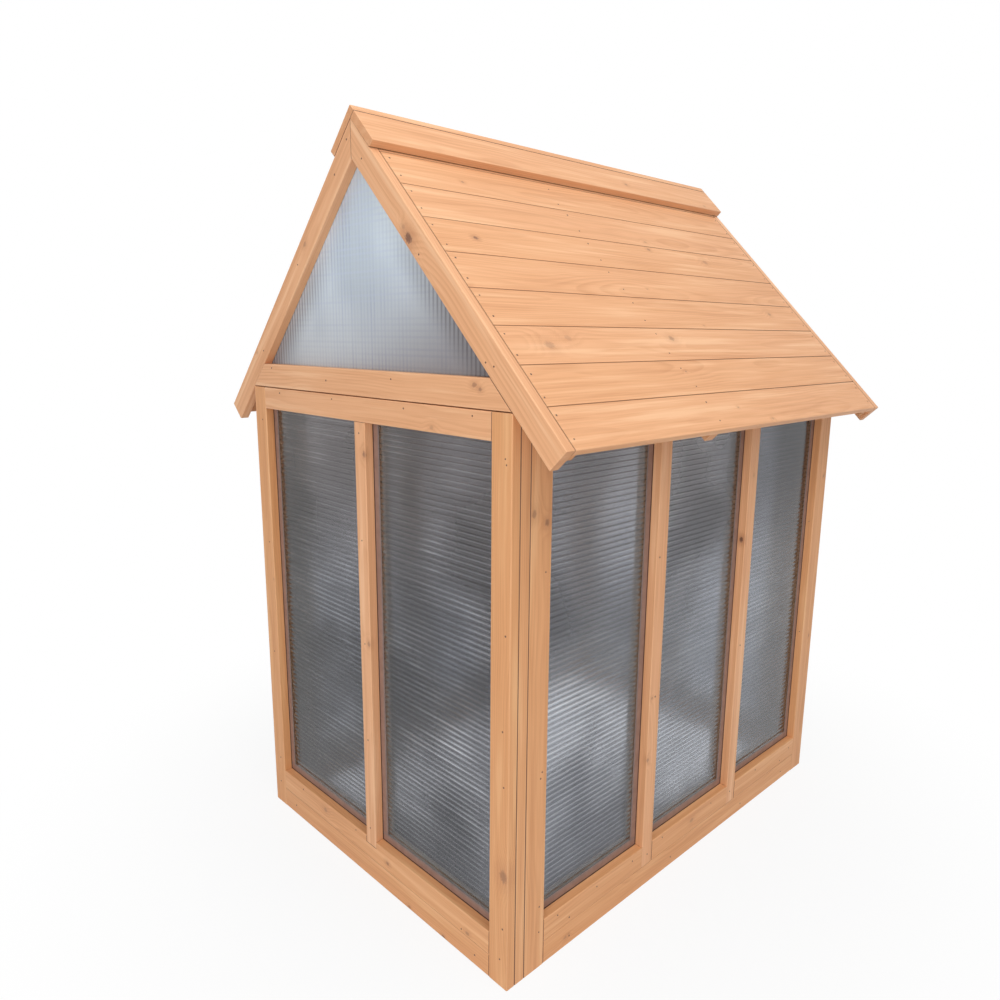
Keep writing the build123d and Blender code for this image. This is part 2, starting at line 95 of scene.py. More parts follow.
# Outer faces of the walls and of the rear gable
FRONT_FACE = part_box("front_top_rail")[0].y
RIGHT_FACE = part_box("right_sill")[1].x
DOOR_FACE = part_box("door_top_rail")[1].y
REAR_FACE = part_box("rear_barge_right")[1].y

# Merging of a node's loose triangles, and the angles between flat faces and at sharp edges
MERGE_REACH = 0.00002
FLAT_ANGLE = 0.01
SHARP_ANGLE = 0.5

# Point inside the house, which the outer face of every board looks away from
HOUSE_MIDDLE = Vector((0.0, 0.0, 0.6))

# Two boards closer than this touch: where a narrow face is tried, the hits it needs, and how dark it gets
JOINT_REACH = 0.0018
JOINT_STEPS = (-0.9, -0.6, -0.3, 0.0, 0.3, 0.6, 0.9)
JOINT_HITS = 5
NARROW_FACE = 0.0025
GLUED_SEAM, ROOF_SEAM, OPEN_SEAM = 0.22, 0.55, 1.0

# Ironmongery, nails and screws, and the thin painted bands and painted shadow lines on the sheets
HINGE_HEIGHT = 0.060
HINGE_PLATE = 0.0016
HINGE_SCREW_HEIGHTS = (0.009, 0.030, 0.051)
BOLT_PLATE = 0.0015
BOLT_SCREW_INSET = (0.006, 0.0045)
PAINTED_BAND_THICKNESS = 0.0003
PAINTED_SHADOW_DEPTH = 0.7
NAIL_LIFT = 0.00005
NAIL_HEIGHT = 0.0006
SCREW_HEIGHT = 0.0008
SCREW_SLOT = 0.0005

# Depth under the outer face of a sheet where its outer skin ends
OUTER_SKIN = (0.0008, 0.0014)

# Floor, and the point that the lamps are turned to
FLOOR_RADIUS = 9.0
LAMP_AIM = Vector((0, 0, 0.8))


class FirSettings(bpy.types.PropertyGroup):
    """Colours and figure of the fir boards"""

    early_wood: FloatVectorProperty(
        name="Early wood",
        description="Pale part of each growth ring",
        subtype="COLOR",
        default=(0.810, 0.430, 0.226),
        min=0,
        max=1,
    )
    late_wood: FloatVectorProperty(
        name="Late wood",
        description="Dark part of each growth ring",
        subtype="COLOR",
        default=(0.555, 0.236, 0.097),
        min=0,
        max=1,
    )
    # Pale wood also pales the rounded edges, partly as wear and partly as a painted highlight
    pale_wood: FloatVectorProperty(
        name="Pale wood",
        description="Pale streaks and rubbed edges",
        subtype="COLOR",
        default=(0.95, 0.60, 0.36),
        min=0,
        max=1,
    )
    stain: FloatVectorProperty(
        name="Stain",
        description="Tint of the clear stain, deepest on the stiles, sills and kickboards",
        subtype="COLOR",
        default=(0.90, 0.82, 0.66),
        min=0,
        max=1,
    )
    raw_wood: FloatVectorProperty(
        name="Raw wood",
        description="Unstained inner battens",
        subtype="COLOR",
        default=(1.00, 0.82, 0.68),
        min=0,
        max=1,
    )
    raw_late_wood: FloatVectorProperty(
        name="Raw late wood",
        description="Dark part of the rings in the unstained inner battens",
        subtype="COLOR",
        default=(0.90, 0.66, 0.50),
        min=0,
        max=1,
    )
    seam: FloatVectorProperty(
        name="Seam",
        description="Dirt and shade in the joint between two boards",
        subtype="COLOR",
        default=(0.10, 0.038, 0.018),
        min=0,
        max=1,
    )
    knot: FloatVectorProperty(
        name="Knot",
        description="Heart of a knot",
        subtype="COLOR",
        default=(0.150, 0.062, 0.038),
        min=0,
        max=1,
    )
    knot_halo: FloatVectorProperty(
        name="Knot halo",
        description="Reddish wood about a knot",
        subtype="COLOR",
        default=(0.42, 0.17, 0.075),
        min=0,
        max=1,
    )
    ring_spacing: FloatProperty(
        name="Ring spacing",
        description="Distance from one growth ring to the next",
        subtype="DISTANCE",
        default=0.0042,
        min=0.001,
    )
    edge_round: FloatProperty(
        name="Edge round",
        description="Rounding of the planed edges",
        subtype="DISTANCE",
        default=0.0007,
        min=0.0001,
    )


class GlazingSettings(bpy.types.PropertyGroup):
    """Tint, ribs and haze of the twin-wall sheets"""

    # Front cells: the sheet's own tint, darkened by painted shade of the dark inside of the house
    front_cell_and_painted_shade: FloatVectorProperty(
        name="Front cells",
        description="Tint of the open cells of the sheet in the front wall",
        subtype="COLOR",
        default=(0.245, 0.25, 0.275),
        min=0,
        max=1,
    )
    # Side cells: the sheets' own tint, darkened by painted shade of the dark inside of the house
    side_cell_and_painted_shade: FloatVectorProperty(
        name="Side cells",
        description="Tint of the open cells of the sheets in the long walls and the door",
        subtype="COLOR",
        default=(0.57, 0.59, 0.63),
        min=0,
        max=1,
    )
    # Wall ribs: the ribs' own tint, lightened to a painted highlight along each rib
    wall_rib_and_painted_highlight: FloatVectorProperty(
        name="Wall ribs",
        description="Tint at the ribs of the sheets in the walls and the door",
        subtype="COLOR",
        default=(0.93, 0.95, 0.98),
        min=0,
        max=1,
    )
    # Painted blotches of blurred reflection on the wall and door sheets
    wall_painted_reflection_patch: FloatVectorProperty(
        name="Wall patches",
        description="Dark patches of the wall and door sheets",
        subtype="COLOR",
        default=(0.50, 0.50, 0.53),
        min=0,
        max=1,
    )
    far_shade: FloatVectorProperty(
        name="Far shade",
        description="Shade high up at the far end of a long wall",
        subtype="COLOR",
        default=(0.28, 0.31, 0.37),
        min=0,
        max=1,
    )
    # Painted light: a lighter tint on the strip along the frame, so that the battens behind show bright
    painted_light_margin: FloatVectorProperty(
        name="Clean skin",
        description="Tint of the clean strip along the frame",
        subtype="COLOR",
        default=(0.98, 0.97, 0.96),
        min=0,
        max=1,
    )
    inner_skin: FloatVectorProperty(
        name="Inner skin",
        description="Tint of the inner skin and of the ribs between the skins",
        subtype="COLOR",
        default=(0.87, 0.88, 0.90),
        min=0,
        max=1,
    )
    # Gable cells: the sheets' own tint, paled and blued by a painted reflection of the sky
    gable_cell_and_painted_sky_reflection: FloatVectorProperty(
        name="Gable cells",
        description="Tint of the open cells of the sheets in the gables",
        subtype="COLOR",
        default=(0.80, 0.91, 1.00),
        min=0,
        max=1,
    )
    gable_rib: FloatVectorProperty(
        name="Gable ribs",
        description="Tint at the ribs of the sheets in the gables",
        subtype="COLOR",
        default=(0.63, 0.72, 0.90),
        min=0,
        max=1,
    )
    # Painted blotches of blurred reflection on the gable sheets
    gable_painted_reflection_patch: FloatVectorProperty(
        name="Gable patches",
        description="Dark patches of the gable sheets",
        subtype="COLOR",
        default=(0.75, 0.76, 0.78),
        min=0,
        max=1,
    )
    barge_shade: FloatVectorProperty(
        name="Barge shade",
        description="Shade of the barge boards on a gable",
        subtype="COLOR",
        default=(0.30, 0.31, 0.34),
        min=0,
        max=1,
    )
    foot_shade: FloatVectorProperty(
        name="Foot shade",
        description="Shade towards the foot of a gable sheet",
        subtype="COLOR",
        default=(0.70, 0.64, 0.61),
        min=0,
        max=1,
    )
    corner_shade: FloatVectorProperty(
        name="Corner shade",
        description="Shade in a lower corner of a gable",
        subtype="COLOR",
        default=(0.50, 0.45, 0.45),
        min=0,
        max=1,
    )
    wall_clear: FloatProperty(
        name="Wall clearness",
        description="Share of the light that goes through a skin of a wall sheet",
        subtype="FACTOR",
        default=1.0,
        min=0,
        max=1,
    )
    gable_clear: FloatProperty(
        name="Gable clearness",
        description="Share of the light that goes through a skin of a gable sheet",
        subtype="FACTOR",
        default=0.15,
        min=0,
        max=1,
    )
    # Painted warm reflection of the eave in the wall sheets, strongest at the top
    painted_eave_reflection: FloatVectorProperty(
        name="Eave haze",
        description="Warm tint of the wall sheets towards the eave",
        subtype="COLOR",
        default=(0.70, 0.58, 0.50),
        min=0,
        max=1,
    )
    # Width of the strip of painted light along the frame
    clear_margin: FloatProperty(
        name="Clear margin",
        description="Width of the clean strip of a sheet where its battens show",
        subtype="DISTANCE",
        default=0.045,
        min=0.001,
    )
    batten_show: FloatProperty(
        name="Batten show",
        description="How far the inner battens stand out past the sides and the foot of the panes",
        subtype="DISTANCE",
        default=0.008,
        min=0,
    )
    flute_pitch: FloatProperty(
        name="Flute pitch",
        description="Distance from one rib to the next",
        subtype="DISTANCE",
        default=0.0114,
        min=0.001,
    )
    swell: FloatProperty(
        name="Swell",
        description="Height of the waves that the ribs leave in the skins",
        subtype="DISTANCE",
        default=0.0002,
        min=0,
    )
    haze: FloatProperty(
        name="Haze",
        description="Roughness of the skins, which blurs what is behind them",
        subtype="FACTOR",
        default=0.26,
        min=0,
        max=1,
    )
    # Painted bands on the sheets: the lit battens behind, painted on, paling towards the open pane
    painted_band_width: FloatProperty(
        name="Tape width",
        description="Width of the tape that beds a sheet along the sides and the foot of a pane",
        subtype="DISTANCE",
        default=0.020,
        min=0.001,
    )
    painted_band: FloatVectorProperty(
        name="Tape",
        description="Colour of the bedding tape beside the frame",
        subtype="COLOR",
        default=(0.31, 0.19, 0.152),
        min=0,
        max=1,
    )
    painted_band_edge: FloatVectorProperty(
        name="Tape edge",
        description="Colour of the bedding tape towards the open pane",
        subtype="COLOR",
        default=(0.215, 0.18, 0.175),
        min=0,
        max=1,
    )
    painted_band_mottle: FloatVectorProperty(
        name="Tape mottle",
        description="Tint of the mottles of the bedding tape",
        subtype="COLOR",
        default=(0.86, 0.84, 0.84),
        min=0,
        max=1,
    )
    # Painted shadow lines: dark strips in the corner between each frame and its sheet, where the shade falls
    painted_shadow_width: FloatProperty(
        name="Seal width",
        description="Width of the dark seal between a frame and its sheet",
        subtype="DISTANCE",
        default=0.0017,
        min=0.0005,
    )
    painted_shadow_line: FloatVectorProperty(
        name="Seal",
        description="Colour of the seal between a frame and its sheet",
        subtype="COLOR",
        default=(0.085, 0.036, 0.022),
        min=0,
        max=1,
    )


class FastenerSettings(bpy.types.PropertyGroup):
    """Nails in the boards and screws in the ironmongery"""

    nail_radius: FloatProperty(
        name="Nail radius",
        description="Radius of a nail head",
        subtype="DISTANCE",
        default=0.0021,
        min=0.0005,
    )
    screw_radius: FloatProperty(
        name="Screw radius",
        description="Radius of a screw head",
        subtype="DISTANCE",
        default=0.0028,
        min=0.0005,
    )
    nail_colour: FloatVectorProperty(
        name="Nail colour",
        description="Colour of the stained nail heads",
        subtype="COLOR",
        default=(0.16, 0.070, 0.036),
        min=0,
        max=1,
    )
    zinc: FloatVectorProperty(
        name="Zinc",
        description="Colour of the plated ironmongery",
        subtype="COLOR",
        default=(0.62, 0.63, 0.62),
        min=0,
        max=1,
    )


class StudioSettings(bpy.types.PropertyGroup):
    """Floor, lamps and camera"""

    floor: FloatVectorProperty(
        name="Floor",
        description="Colour of the floor",
        subtype="COLOR",
        default=(0.82, 0.82, 0.82),
        min=0,
        max=1,
    )
    sky_level: FloatProperty(
        name="Sky level",
        description="Light that comes from all round",
        default=0.40,
        min=0,
    )
    key_place: FloatVectorProperty(
        name="Key place",
        description="Where the large lamp above the roof hangs",
        subtype="TRANSLATION",
        default=(1.8, -0.8, 4.3),
    )
    key_size: FloatProperty(
        name="Key size",
        description="Width of the large lamp above the roof",
        subtype="DISTANCE",
        default=3.0,
        min=0.1,
    )
    key_power: FloatProperty(
        name="Key power",
        description="Power of the large lamp above the roof",
        unit="POWER",
        default=92.0,
        min=0,
    )
    fill_place: FloatVectorProperty(
        name="Fill place",
        description="Where the lamp in front of the gable stands",
        subtype="TRANSLATION",
        default=(2.2, -3.9, 1.5),
    )
    fill_size: FloatProperty(
        name="Fill size",
        description="Width of the lamp in front of the gable",
        subtype="DISTANCE",
        default=2.6,
        min=0.1,
    )
    fill_power: FloatProperty(
        name="Fill power",
        description="Power of the lamp in front of the gable",
        unit="POWER",
        default=65.0,
        min=0,
    )
    camera_place: FloatVectorProperty(
        name="Camera place",
        description="Where the camera stands",
        subtype="TRANSLATION",
        default=(1.3508, -1.4987, 1.2246),
    )
    camera_aim: FloatVectorProperty(
        name="Camera aim",
        description="Point that the camera looks at",
        subtype="TRANSLATION",
        default=(0.0094, -0.2105, 0.8354),
    )
    camera_roll: FloatProperty(
        name="Camera roll",
        description="Tilt of the camera about its own axis",
        subtype="ANGLE",
        default=math.radians(0.4265),
    )
    lens: FloatProperty(
        name="Lens",
        description="Focal length on a 36 mm sensor",
        unit="CAMERA",
        default=28.36,
        min=1,
    )


def slope_point(y, down):
    """Place on the right slope of the roof, in millimetres, from the distance down from the ridge."""
    return (down * math.cos(PITCH), y, RIDGE_HEIGHT * 1000 - down * math.sin(PITCH))


# Knots that show in the seen walls and roof: node, place in millimetres, radius in millimetres, darkness
KNOTS = [
    ("front_barge_right", (174, -600, 1393), 10, 0.85),
    ("front_barge_left", (-183, -600, 1408), 6, 0.35),
    ("front_gable_rail", (350, -600, 1142), 5, 0.5),
    ("front_gable_rail", (365, -600, 1135), 4, 0.5),
    ("front_mullion", (15, -600, 985), 6, 0.6),
    ("front_mullion", (13, -600, 575), 6, 0.45),
    ("front_stile_right", (432, -600, 242), 12, 0.5),
    ("front_kickboard", (-195, -600, 80), 7, 0.3),
    ("front_kickboard", (62, -600, 70), 5, 0.55),
    ("front_kickboard", (330, -600, 58), 5, 0.4),
    ("front_sill", (140, -600, 6), 4, 0.5),
    ("front_sill", (255, -600, 4), 4, 0.6),
    ("right_front_stile", (443, -545, 925), 7, 0.45),
    ("right_front_stile", (443, -512, 905), 6, 0.55),
    ("right_mullion_1", (443, -172, 315), 5, 0.45),
    ("right_mullion_2", (433, 185, 750), 6, 0.95),
    ("right_rear_stile", (443, 530, 975), 7, 0.55),
    ("right_kickboard", (443, 25, 78), 7, 0.3),
    ("roof_boards_right", slope_point(-478, 311), 5, 0.75),
    ("roof_boards_right", slope_point(90, 278), 5, 0.45),
    ("roof_boards_right", slope_point(310, 300), 8, 0.25),
    ("roof_boards_right", slope_point(-475, 580), 11, 0.3),
    ("roof_boards_right", slope_point(-415, 563), 8, 0.2),
    ("roof_boards_right", slope_point(-92, 563), 8, 0.4),
    ("roof_boards_right", slope_point(425, 478), 6, 0.35),
]

# Place, radius and darkness of a knot that is far outside every board
NO_KNOT = ((9.0, 9.0, 9.0), 0.001, 0.0)

# Nails, in millimetres across the wall and up; those of the front and right walls are as seen
FRONT_NAILS = [
    (-322, 1090), (-100, 1090), (150, 1088), (345, 1089),
    (-2, 1027), (-2, 801), (-2, 571), (-1, 345), (-2, 127),
    (427, 1024), (430, 1014), (431, 714), (426, 532), (430, 424), (430, 129), (423, 59),
    (-411, 1022), (-410, 718), (-415, 428), (-412, 131), (-417, 60),
    (312, 57), (-62, 92), (-300, 88), (-340, 24), (352, 22),
    (-354, 1146), (112, 1141), (-120, 1128),
    (203, 1363), (34, 1546), (-14, 1587), (378, 1180), (398, 1174),
    (-215, 1369), (-388, 1185), (-60, 1530),
]
RIGHT_NAILS = [
    (-513, 815), (-512, 425), (-516, 413), (-513, 137), (-513, 80),
    (-165, 775), (-160, 1020), (-156, 460), (-156, 75),
    (200, 1020), (198, 480), (200, 80),
    (520, 743), (522, 430), (520, 80),
    (-458, 87), (-422, 62), (-335, 87), (-212, 85), (-98, 90), (110, 86), (330, 88), (470, 60),
    (-421, 18), (-60, 20), (260, 19), (480, 22),
]
REAR_NAILS = [
    (400, 1020), (401, 560), (399, 90), (-400, 1022), (-401, 558), (-399, 88),
    (300, 1076), (-20, 1074), (-310, 1077), (320, 24), (10, 26), (-300, 23),
]
DOOR_NAILS = [
    (350, 1000), (344, 1012), (352, 96), (345, 84), (-350, 1002), (-345, 1013), (-352, 94), (-346, 83),
    (2, 1016), (-2, 560), (1, 118),
]
REAR_GABLE_NAILS = [
    (-354, 1146), (112, 1141), (340, 1130), (203, 1363), (34, 1546), (-14, 1587),
    (390, 1178), (-215, 1369), (-388, 1185),
]


# Shader building
def add(tree, kind, settings=None, inputs=None):
    """Add a shader node, set its options, and give its inputs plain values or links."""
    made = tree.nodes.new(kind)
    for name, value in (settings or {}).items():
        setattr(made, name, value)
    for name, value in (inputs or {}).items():
        if isinstance(value, bpy.types.NodeSocket):
            tree.links.new(value, made.inputs[name])
        else:
            made.inputs[name].default_value = value
    return made


def maths(tree, operation, *values):
    """Number worked out from other numbers."""
    return add(tree, "ShaderNodeMath", {"operation": operation}, dict(enumerate(values))).outputs[0]


def vector_maths(tree, operation, *values):
    """Vector worked out from other vectors."""
    return add(tree, "ShaderNodeVectorMath", {"operation": operation}, dict(enumerate(values))).outputs[0]


def ramp(tree, value, low, high, to_low=0.0, to_high=1.0):
    """Smooth step of a number from one range to another."""
    inputs = {"Value": value, "From Min": low, "From Max": high, "To Min": to_low, "To Max": to_high}
    return add(tree, "ShaderNodeMapRange", {"interpolation_type": "SMOOTHSTEP"}, inputs).outputs[0]


def mixed(tree, share, first, second, way="MIX"):
    """Two colours mixed."""
    settings = {"data_type": "RGBA", "blend_type": way}
    return add(tree, "ShaderNodeMix", settings, {0: share, 6: first, 7: second}).outputs[2]


def noise(tree, vector, scale, detail):
    """Noise texture."""
    return add(tree, "ShaderNodeTexNoise", None, {"Vector": vector, "Scale": scale, "Detail": detail})


def opaque(colour):
    """Colour with full alpha."""
    return (*colour, 1.0)


def new_group(name, inputs, outputs):
    """Empty shader group with named sockets: its tree, its inputs and its outputs."""
    group = bpy.data.node_groups.new(name, "ShaderNodeTree")
    for label, kind in inputs:
        group.interface.new_socket(name=label, in_out="INPUT", socket_type=f"NodeSocket{kind}")
    for label, kind in outputs:
        group.interface.new_socket(name=label, in_out="OUTPUT", socket_type=f"NodeSocket{kind}")
    return group, add(group, "NodeGroupInput").outputs, add(group, "NodeGroupOutput").inputs


def new_material(name):
    """Material with a plain shader: the material, its tree and the shader."""
    material = bpy.data.materials.new(name)
    material.use_nodes = True
    return material, material.node_tree, material.node_tree.nodes["Principled BSDF"]


def give_surface(tree, shader, colour, roughness, relief, strength, distance):
    """Give a shader its colour and roughness, and a bump from the height of a relief."""
    bump = add(tree, "ShaderNodeBump", None, {"Strength": strength, "Distance": distance, "Height": relief})
    for name, value in (("Base Color", colour), ("Roughness", roughness), ("Normal", bump.outputs[0])):
        tree.links.new(value, shader.inputs[name])


# Stretch of each noise of the wood along, across and through a board, and the step from board to board
WANDER_STRETCH = (1.7, 1.2, 1.2)
FIBRE_STRETCH = (7.0, 460.0, 460.0)
BAND_STRETCH = (2.6, 62.0, 62.0)
CLOUD_STRETCH = (3.2, 15.0, 15.0)
BOARD_STEP = (61.0, 37.0, 83.0)
WANDER_REACH = (0.0, 0.045, 0.045)


def chance_of(group, seed, turns, spread, least):
    """Number between two ends that differs from board to board."""
    turned = maths(group, "FRACT", maths(group, "MULTIPLY", seed, turns))
    return maths(group, "MULTIPLY_ADD", turned, spread, least)


def ring_group():
    """Growth rings, fibres and clouding of a board, about a heart that lies off the board."""
    inputs = [("Grain", "Vector"), ("Board", "Float"), ("Bulge", "Float"), ("Spacing", "Float")]
    outputs = [("Rings", "Float"), ("Fibres", "Float"), ("Bands", "Float"), ("Clouds", "Float")]
    group, given, wanted = new_group("Growth rings", inputs, outputs)
    inputs = {0: BOARD_STEP, "Scale": given["Board"]}
    seed = add(group, "ShaderNodeVectorMath", {"operation": "SCALE"}, inputs).outputs[0]
    slow = vector_maths(group, "MULTIPLY_ADD", given["Grain"], WANDER_STRETCH, seed)
    wander = vector_maths(group, "SUBTRACT", noise(group, slow, 1.0, 2.0).outputs["Color"], (0.5, 0.5, 0.5))
    aside = chance_of(group, given["Board"], 7.31, 0.09, -0.045)
    below = chance_of(group, given["Board"], 13.7, 0.05, 0.018)
    heart = add(group, "ShaderNodeCombineXYZ", None, {"Y": aside, "Z": below}).outputs[0]
    off_heart = vector_maths(group, "ADD", given["Grain"], heart)
    off_heart = vector_maths(group, "MULTIPLY_ADD", wander, WANDER_REACH, off_heart)
    radial = vector_maths(group, "MULTIPLY", off_heart, (0.0, 1.0, 1.0))
    radius = add(group, "ShaderNodeVectorMath", {"operation": "LENGTH"}, {0: radial}).outputs["Value"]
    radius = maths(group, "ADD", radius, given["Bulge"])
    phase = maths(group, "FRACT", maths(group, "DIVIDE", radius, given["Spacing"]))
    rise = ramp(group, phase, 0.25, 0.86)
    fall = ramp(group, phase, 0.88, 1.0, 1.0, 0.0)
    group.links.new(maths(group, "MULTIPLY", rise, fall), wanted["Rings"])
    for name, stretch, detail in (
        ("Fibres", FIBRE_STRETCH, 3.0),
        ("Bands", BAND_STRETCH, 3.0),
        ("Clouds", CLOUD_STRETCH, 2.0),
    ):
        place = vector_maths(group, "MULTIPLY_ADD", given["Grain"], stretch, seed)
        group.links.new(noise(group, place, 1.0, detail).outputs[0], wanted[name])
    return group


def knot_group():
    """One knot of a board: its dark heart, the red halo about it, and how far it pushes the rings."""
    inputs = [("Grain", "Vector"), ("Knot", "Vector"), ("Radius", "Float"), ("Darkness", "Float")]
    outputs = [("Heart", "Float"), ("Halo", "Float"), ("Bulge", "Float")]
    group, given, wanted = new_group("Knot", inputs, outputs)
    away = vector_maths(group, "SUBTRACT", given["Grain"], given["Knot"])
    away = vector_maths(group, "MULTIPLY", away, (0.72, 1.0, 1.0))
    distance = add(group, "ShaderNodeVectorMath", {"operation": "LENGTH"}, {0: away}).outputs["Value"]
    distance = maths(group, "DIVIDE", distance, maths(group, "MAXIMUM", given["Radius"], 0.0001))
    ragged = noise(group, given["Grain"], 260.0, 2.0).outputs[0]
    distance = maths(group, "MULTIPLY_ADD", maths(group, "SUBTRACT", ragged, 0.5), 0.9, distance)
    heart = ramp(group, distance, 0.4, 1.05, 1.0, 0.0)
    halo = ramp(group, distance, 0.8, 3.0, 1.0, 0.0)
    bulge = ramp(group, distance, 0.0, 4.5, 1.0, 0.0)
    group.links.new(maths(group, "MULTIPLY", heart, given["Darkness"]), wanted["Heart"])
    group.links.new(maths(group, "MULTIPLY", halo, given["Darkness"]), wanted["Halo"])
    group.links.new(maths(group, "MULTIPLY", bulge, given["Radius"]), wanted["Bulge"])
    return group


def attribute(tree, name, output):
    """Value that the piece's own mesh carries."""
    return add(tree, "ShaderNodeAttribute", {"attribute_name": name}).outputs[output]


def fir_material(name, settings, early, late):
    """Planed fir under a clear stain: rings, fibres, knots, end grain, rubbed edges with a painted highlight,
    and dark seams.
    """
    material, tree, shader = new_material(name)
    grain = attribute(tree, "grain", "Vector")
    board = attribute(tree, "board", "Fac")
    radii = add(tree, "ShaderNodeSeparateXYZ", None, {0: attribute(tree, "knot_radius", "Vector")}).outputs
    depths = add(tree, "ShaderNodeSeparateXYZ", None, {0: attribute(tree, "knot_darkness", "Vector")}).outputs
    knots = bpy.data.node_groups.get("Knot") or knot_group()
    hearts, halos, bulges = 0.0, 0.0, 0.0
    for letter, axis in zip("abc", "XYZ"):
        place = attribute(tree, f"knot_{letter}", "Vector")
        inputs = {"Grain": grain, "Knot": place, "Radius": radii[axis], "Darkness": depths[axis]}
        one = add(tree, "ShaderNodeGroup", {"node_tree": knots}, inputs).outputs
        hearts = maths(tree, "ADD", hearts, one["Heart"])
        halos = maths(tree, "ADD", halos, one["Halo"])
        bulges = maths(tree, "ADD", bulges, one["Bulge"])
    inputs = {"Grain": grain, "Board": board, "Bulge": bulges, "Spacing": settings.ring_spacing}
    rings = bpy.data.node_groups.get("Growth rings") or ring_group()
    figure = add(tree, "ShaderNodeGroup", {"node_tree": rings}, inputs).outputs
    early, late, pale = opaque(early), opaque(late), opaque(settings.pale_wood)
    rings = maths(tree, "MULTIPLY", figure["Rings"], ramp(tree, figure["Clouds"], 0.3, 0.7, 0.06, 0.34))
    colour = mixed(tree, rings, early, late)
    colour = mixed(tree, ramp(tree, figure["Fibres"], 0.42, 0.8, 0.0, 0.28), colour, late)
    colour = mixed(tree, ramp(tree, figure["Bands"], 0.52, 0.75, 0.0, 0.36), colour, late)
    colour = mixed(tree, ramp(tree, figure["Bands"], 0.5, 0.28, 0.0, 0.55), colour, pale)
    colour = mixed(tree, attribute(tree, "stain", "Fac"), colour, opaque(settings.stain), "MULTIPLY")
    colour = mixed(tree, maths(tree, "MULTIPLY", halos, 0.5), colour, opaque(settings.knot_halo))
    colour = mixed(tree, hearts, colour, opaque(settings.knot))
    # Rounded edges paled partly as wear and partly as a painted highlight
    for layer, strength, tint in (
        ("end_grain", 0.35, late),
        ("edge", 0.18, pale),
        ("seam", 0.85, opaque(settings.seam)),
    ):
        share = maths(tree, "MULTIPLY", attribute(tree, layer, "Fac"), strength)
        colour = mixed(tree, share, colour, tint)
    roughness = ramp(tree, figure["Fibres"], 0.3, 0.8, 0.46, 0.62)
    relief = maths(tree, "MULTIPLY_ADD", figure["Rings"], 0.4, figure["Fibres"])
    give_surface(tree, shader, colour, roughness, relief, 0.22, 0.0006)
    shader.inputs["Specular IOR Level"].default_value = 0.4
    return material


def flute_group():
    """Ribs of a twin-wall sheet from the distance across the flutes, their streaks and the skins' swell."""
    inputs = [("Across", "Float"), ("Along", "Float"), ("Pitch", "Float")]
    outputs = [("Rib", "Float"), ("Streak", "Float"), ("Swell", "Float")]
    group, given, wanted = new_group("Flutes", inputs, outputs)
    turns = maths(group, "ADD", maths(group, "DIVIDE", given["Across"], given["Pitch"]), 0.5)
    phase = maths(group, "SUBTRACT", maths(group, "FRACT", turns), 0.5)
    apart = maths(group, "ABSOLUTE", phase)
    group.links.new(ramp(group, apart, 0.10, 0.30, 1.0, 0.0), wanted["Rib"])
    number = maths(group, "MULTIPLY", maths(group, "FLOOR", turns), 3.7)
    run = maths(group, "MULTIPLY", given["Along"], 2.5)
    line = add(group, "ShaderNodeCombineXYZ", None, {"X": run, "Y": number}).outputs[0]
    group.links.new(noise(group, line, 1.0, 2.0).outputs[0], wanted["Streak"])
    swell = maths(group, "COSINE", maths(group, "MULTIPLY", phase, 2 * math.pi))
    group.links.new(swell, wanted["Swell"])
    return group


def add_flutes(tree, across, along):
    """Ribs, streaks and swell for a distance across the flutes and one along them."""
    group = bpy.data.node_groups.get("Flutes") or flute_group()
    pitch = bpy.context.scene.greenhouse_glazing.flute_pitch
    inputs = {"Across": across, "Along": along, "Pitch": pitch}
    return add(tree, "ShaderNodeGroup", {"node_tree": group}, inputs).outputs


def pane_spans(axis, *nodes):
    """Open spans between upright members that are given in order along an axis."""
    edges = [corner[axis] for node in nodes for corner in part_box(node)]
    return list(zip(edges[1:-1:2], edges[2::2]))


# Open spans of the panes along each kind of wall
PANES = {
    "front": pane_spans(0, "front_stile_left", "front_mullion", "front_stile_right"),
    "side": pane_spans(1, "right_front_stile", "right_mullion_1", "right_mullion_2", "right_rear_stile"),
    "door": pane_spans(0, "door_latch_stile", "door_mullion", "door_hinge_stile"),
}
PANE_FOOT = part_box("front_kickboard")[1].z

# Battens that lie nearer to the front than this are the front wall's
FRONT_BATTENS_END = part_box("glazing_battens")[0].y + 0.03


def frame_margin(tree, across, up, spans, far_side, width):
    """1 along the foot and the far side of each of the equal panes, 0 in the open middle."""
    step = spans[1][0] - spans[0][0]
    off_side = maths(tree, "SUBTRACT", across, spans[0][far_side])
    turns = maths(tree, "DIVIDE", off_side, -step if far_side else step)
    off_side = maths(tree, "MULTIPLY", maths(tree, "FRACT", turns), step)
    off_foot = maths(tree, "SUBTRACT", up, PANE_FOOT)
    return ramp(tree, maths(tree, "MINIMUM", off_side, off_foot), width * 0.5, width, 1.0, 0.0)


def wall_shades(tree, settings, colour, axes, flutes_along):
    """Sheet of a wall: a painted warm reflection of the eave towards the top and, in the long walls, painted
    shade high up at the far end.
    """
    # Painted warm reflection of the eave, growing towards the top of the sheet
    colour = mixed(tree, ramp(tree, axes["Z"], 0.55, 1.0, 0.0, 0.28), colour, opaque(settings.painted_eave_reflection))
    if flutes_along == "Y":
        high_up, far_off = ramp(tree, axes["Z"], 0.6, 0.95), ramp(tree, axes["Y"], -0.15, 0.45)
        far_end = maths(tree, "MULTIPLY", high_up, far_off)
        colour = mixed(tree, far_end, colour, opaque(settings.far_shade), "MULTIPLY")
    return colour


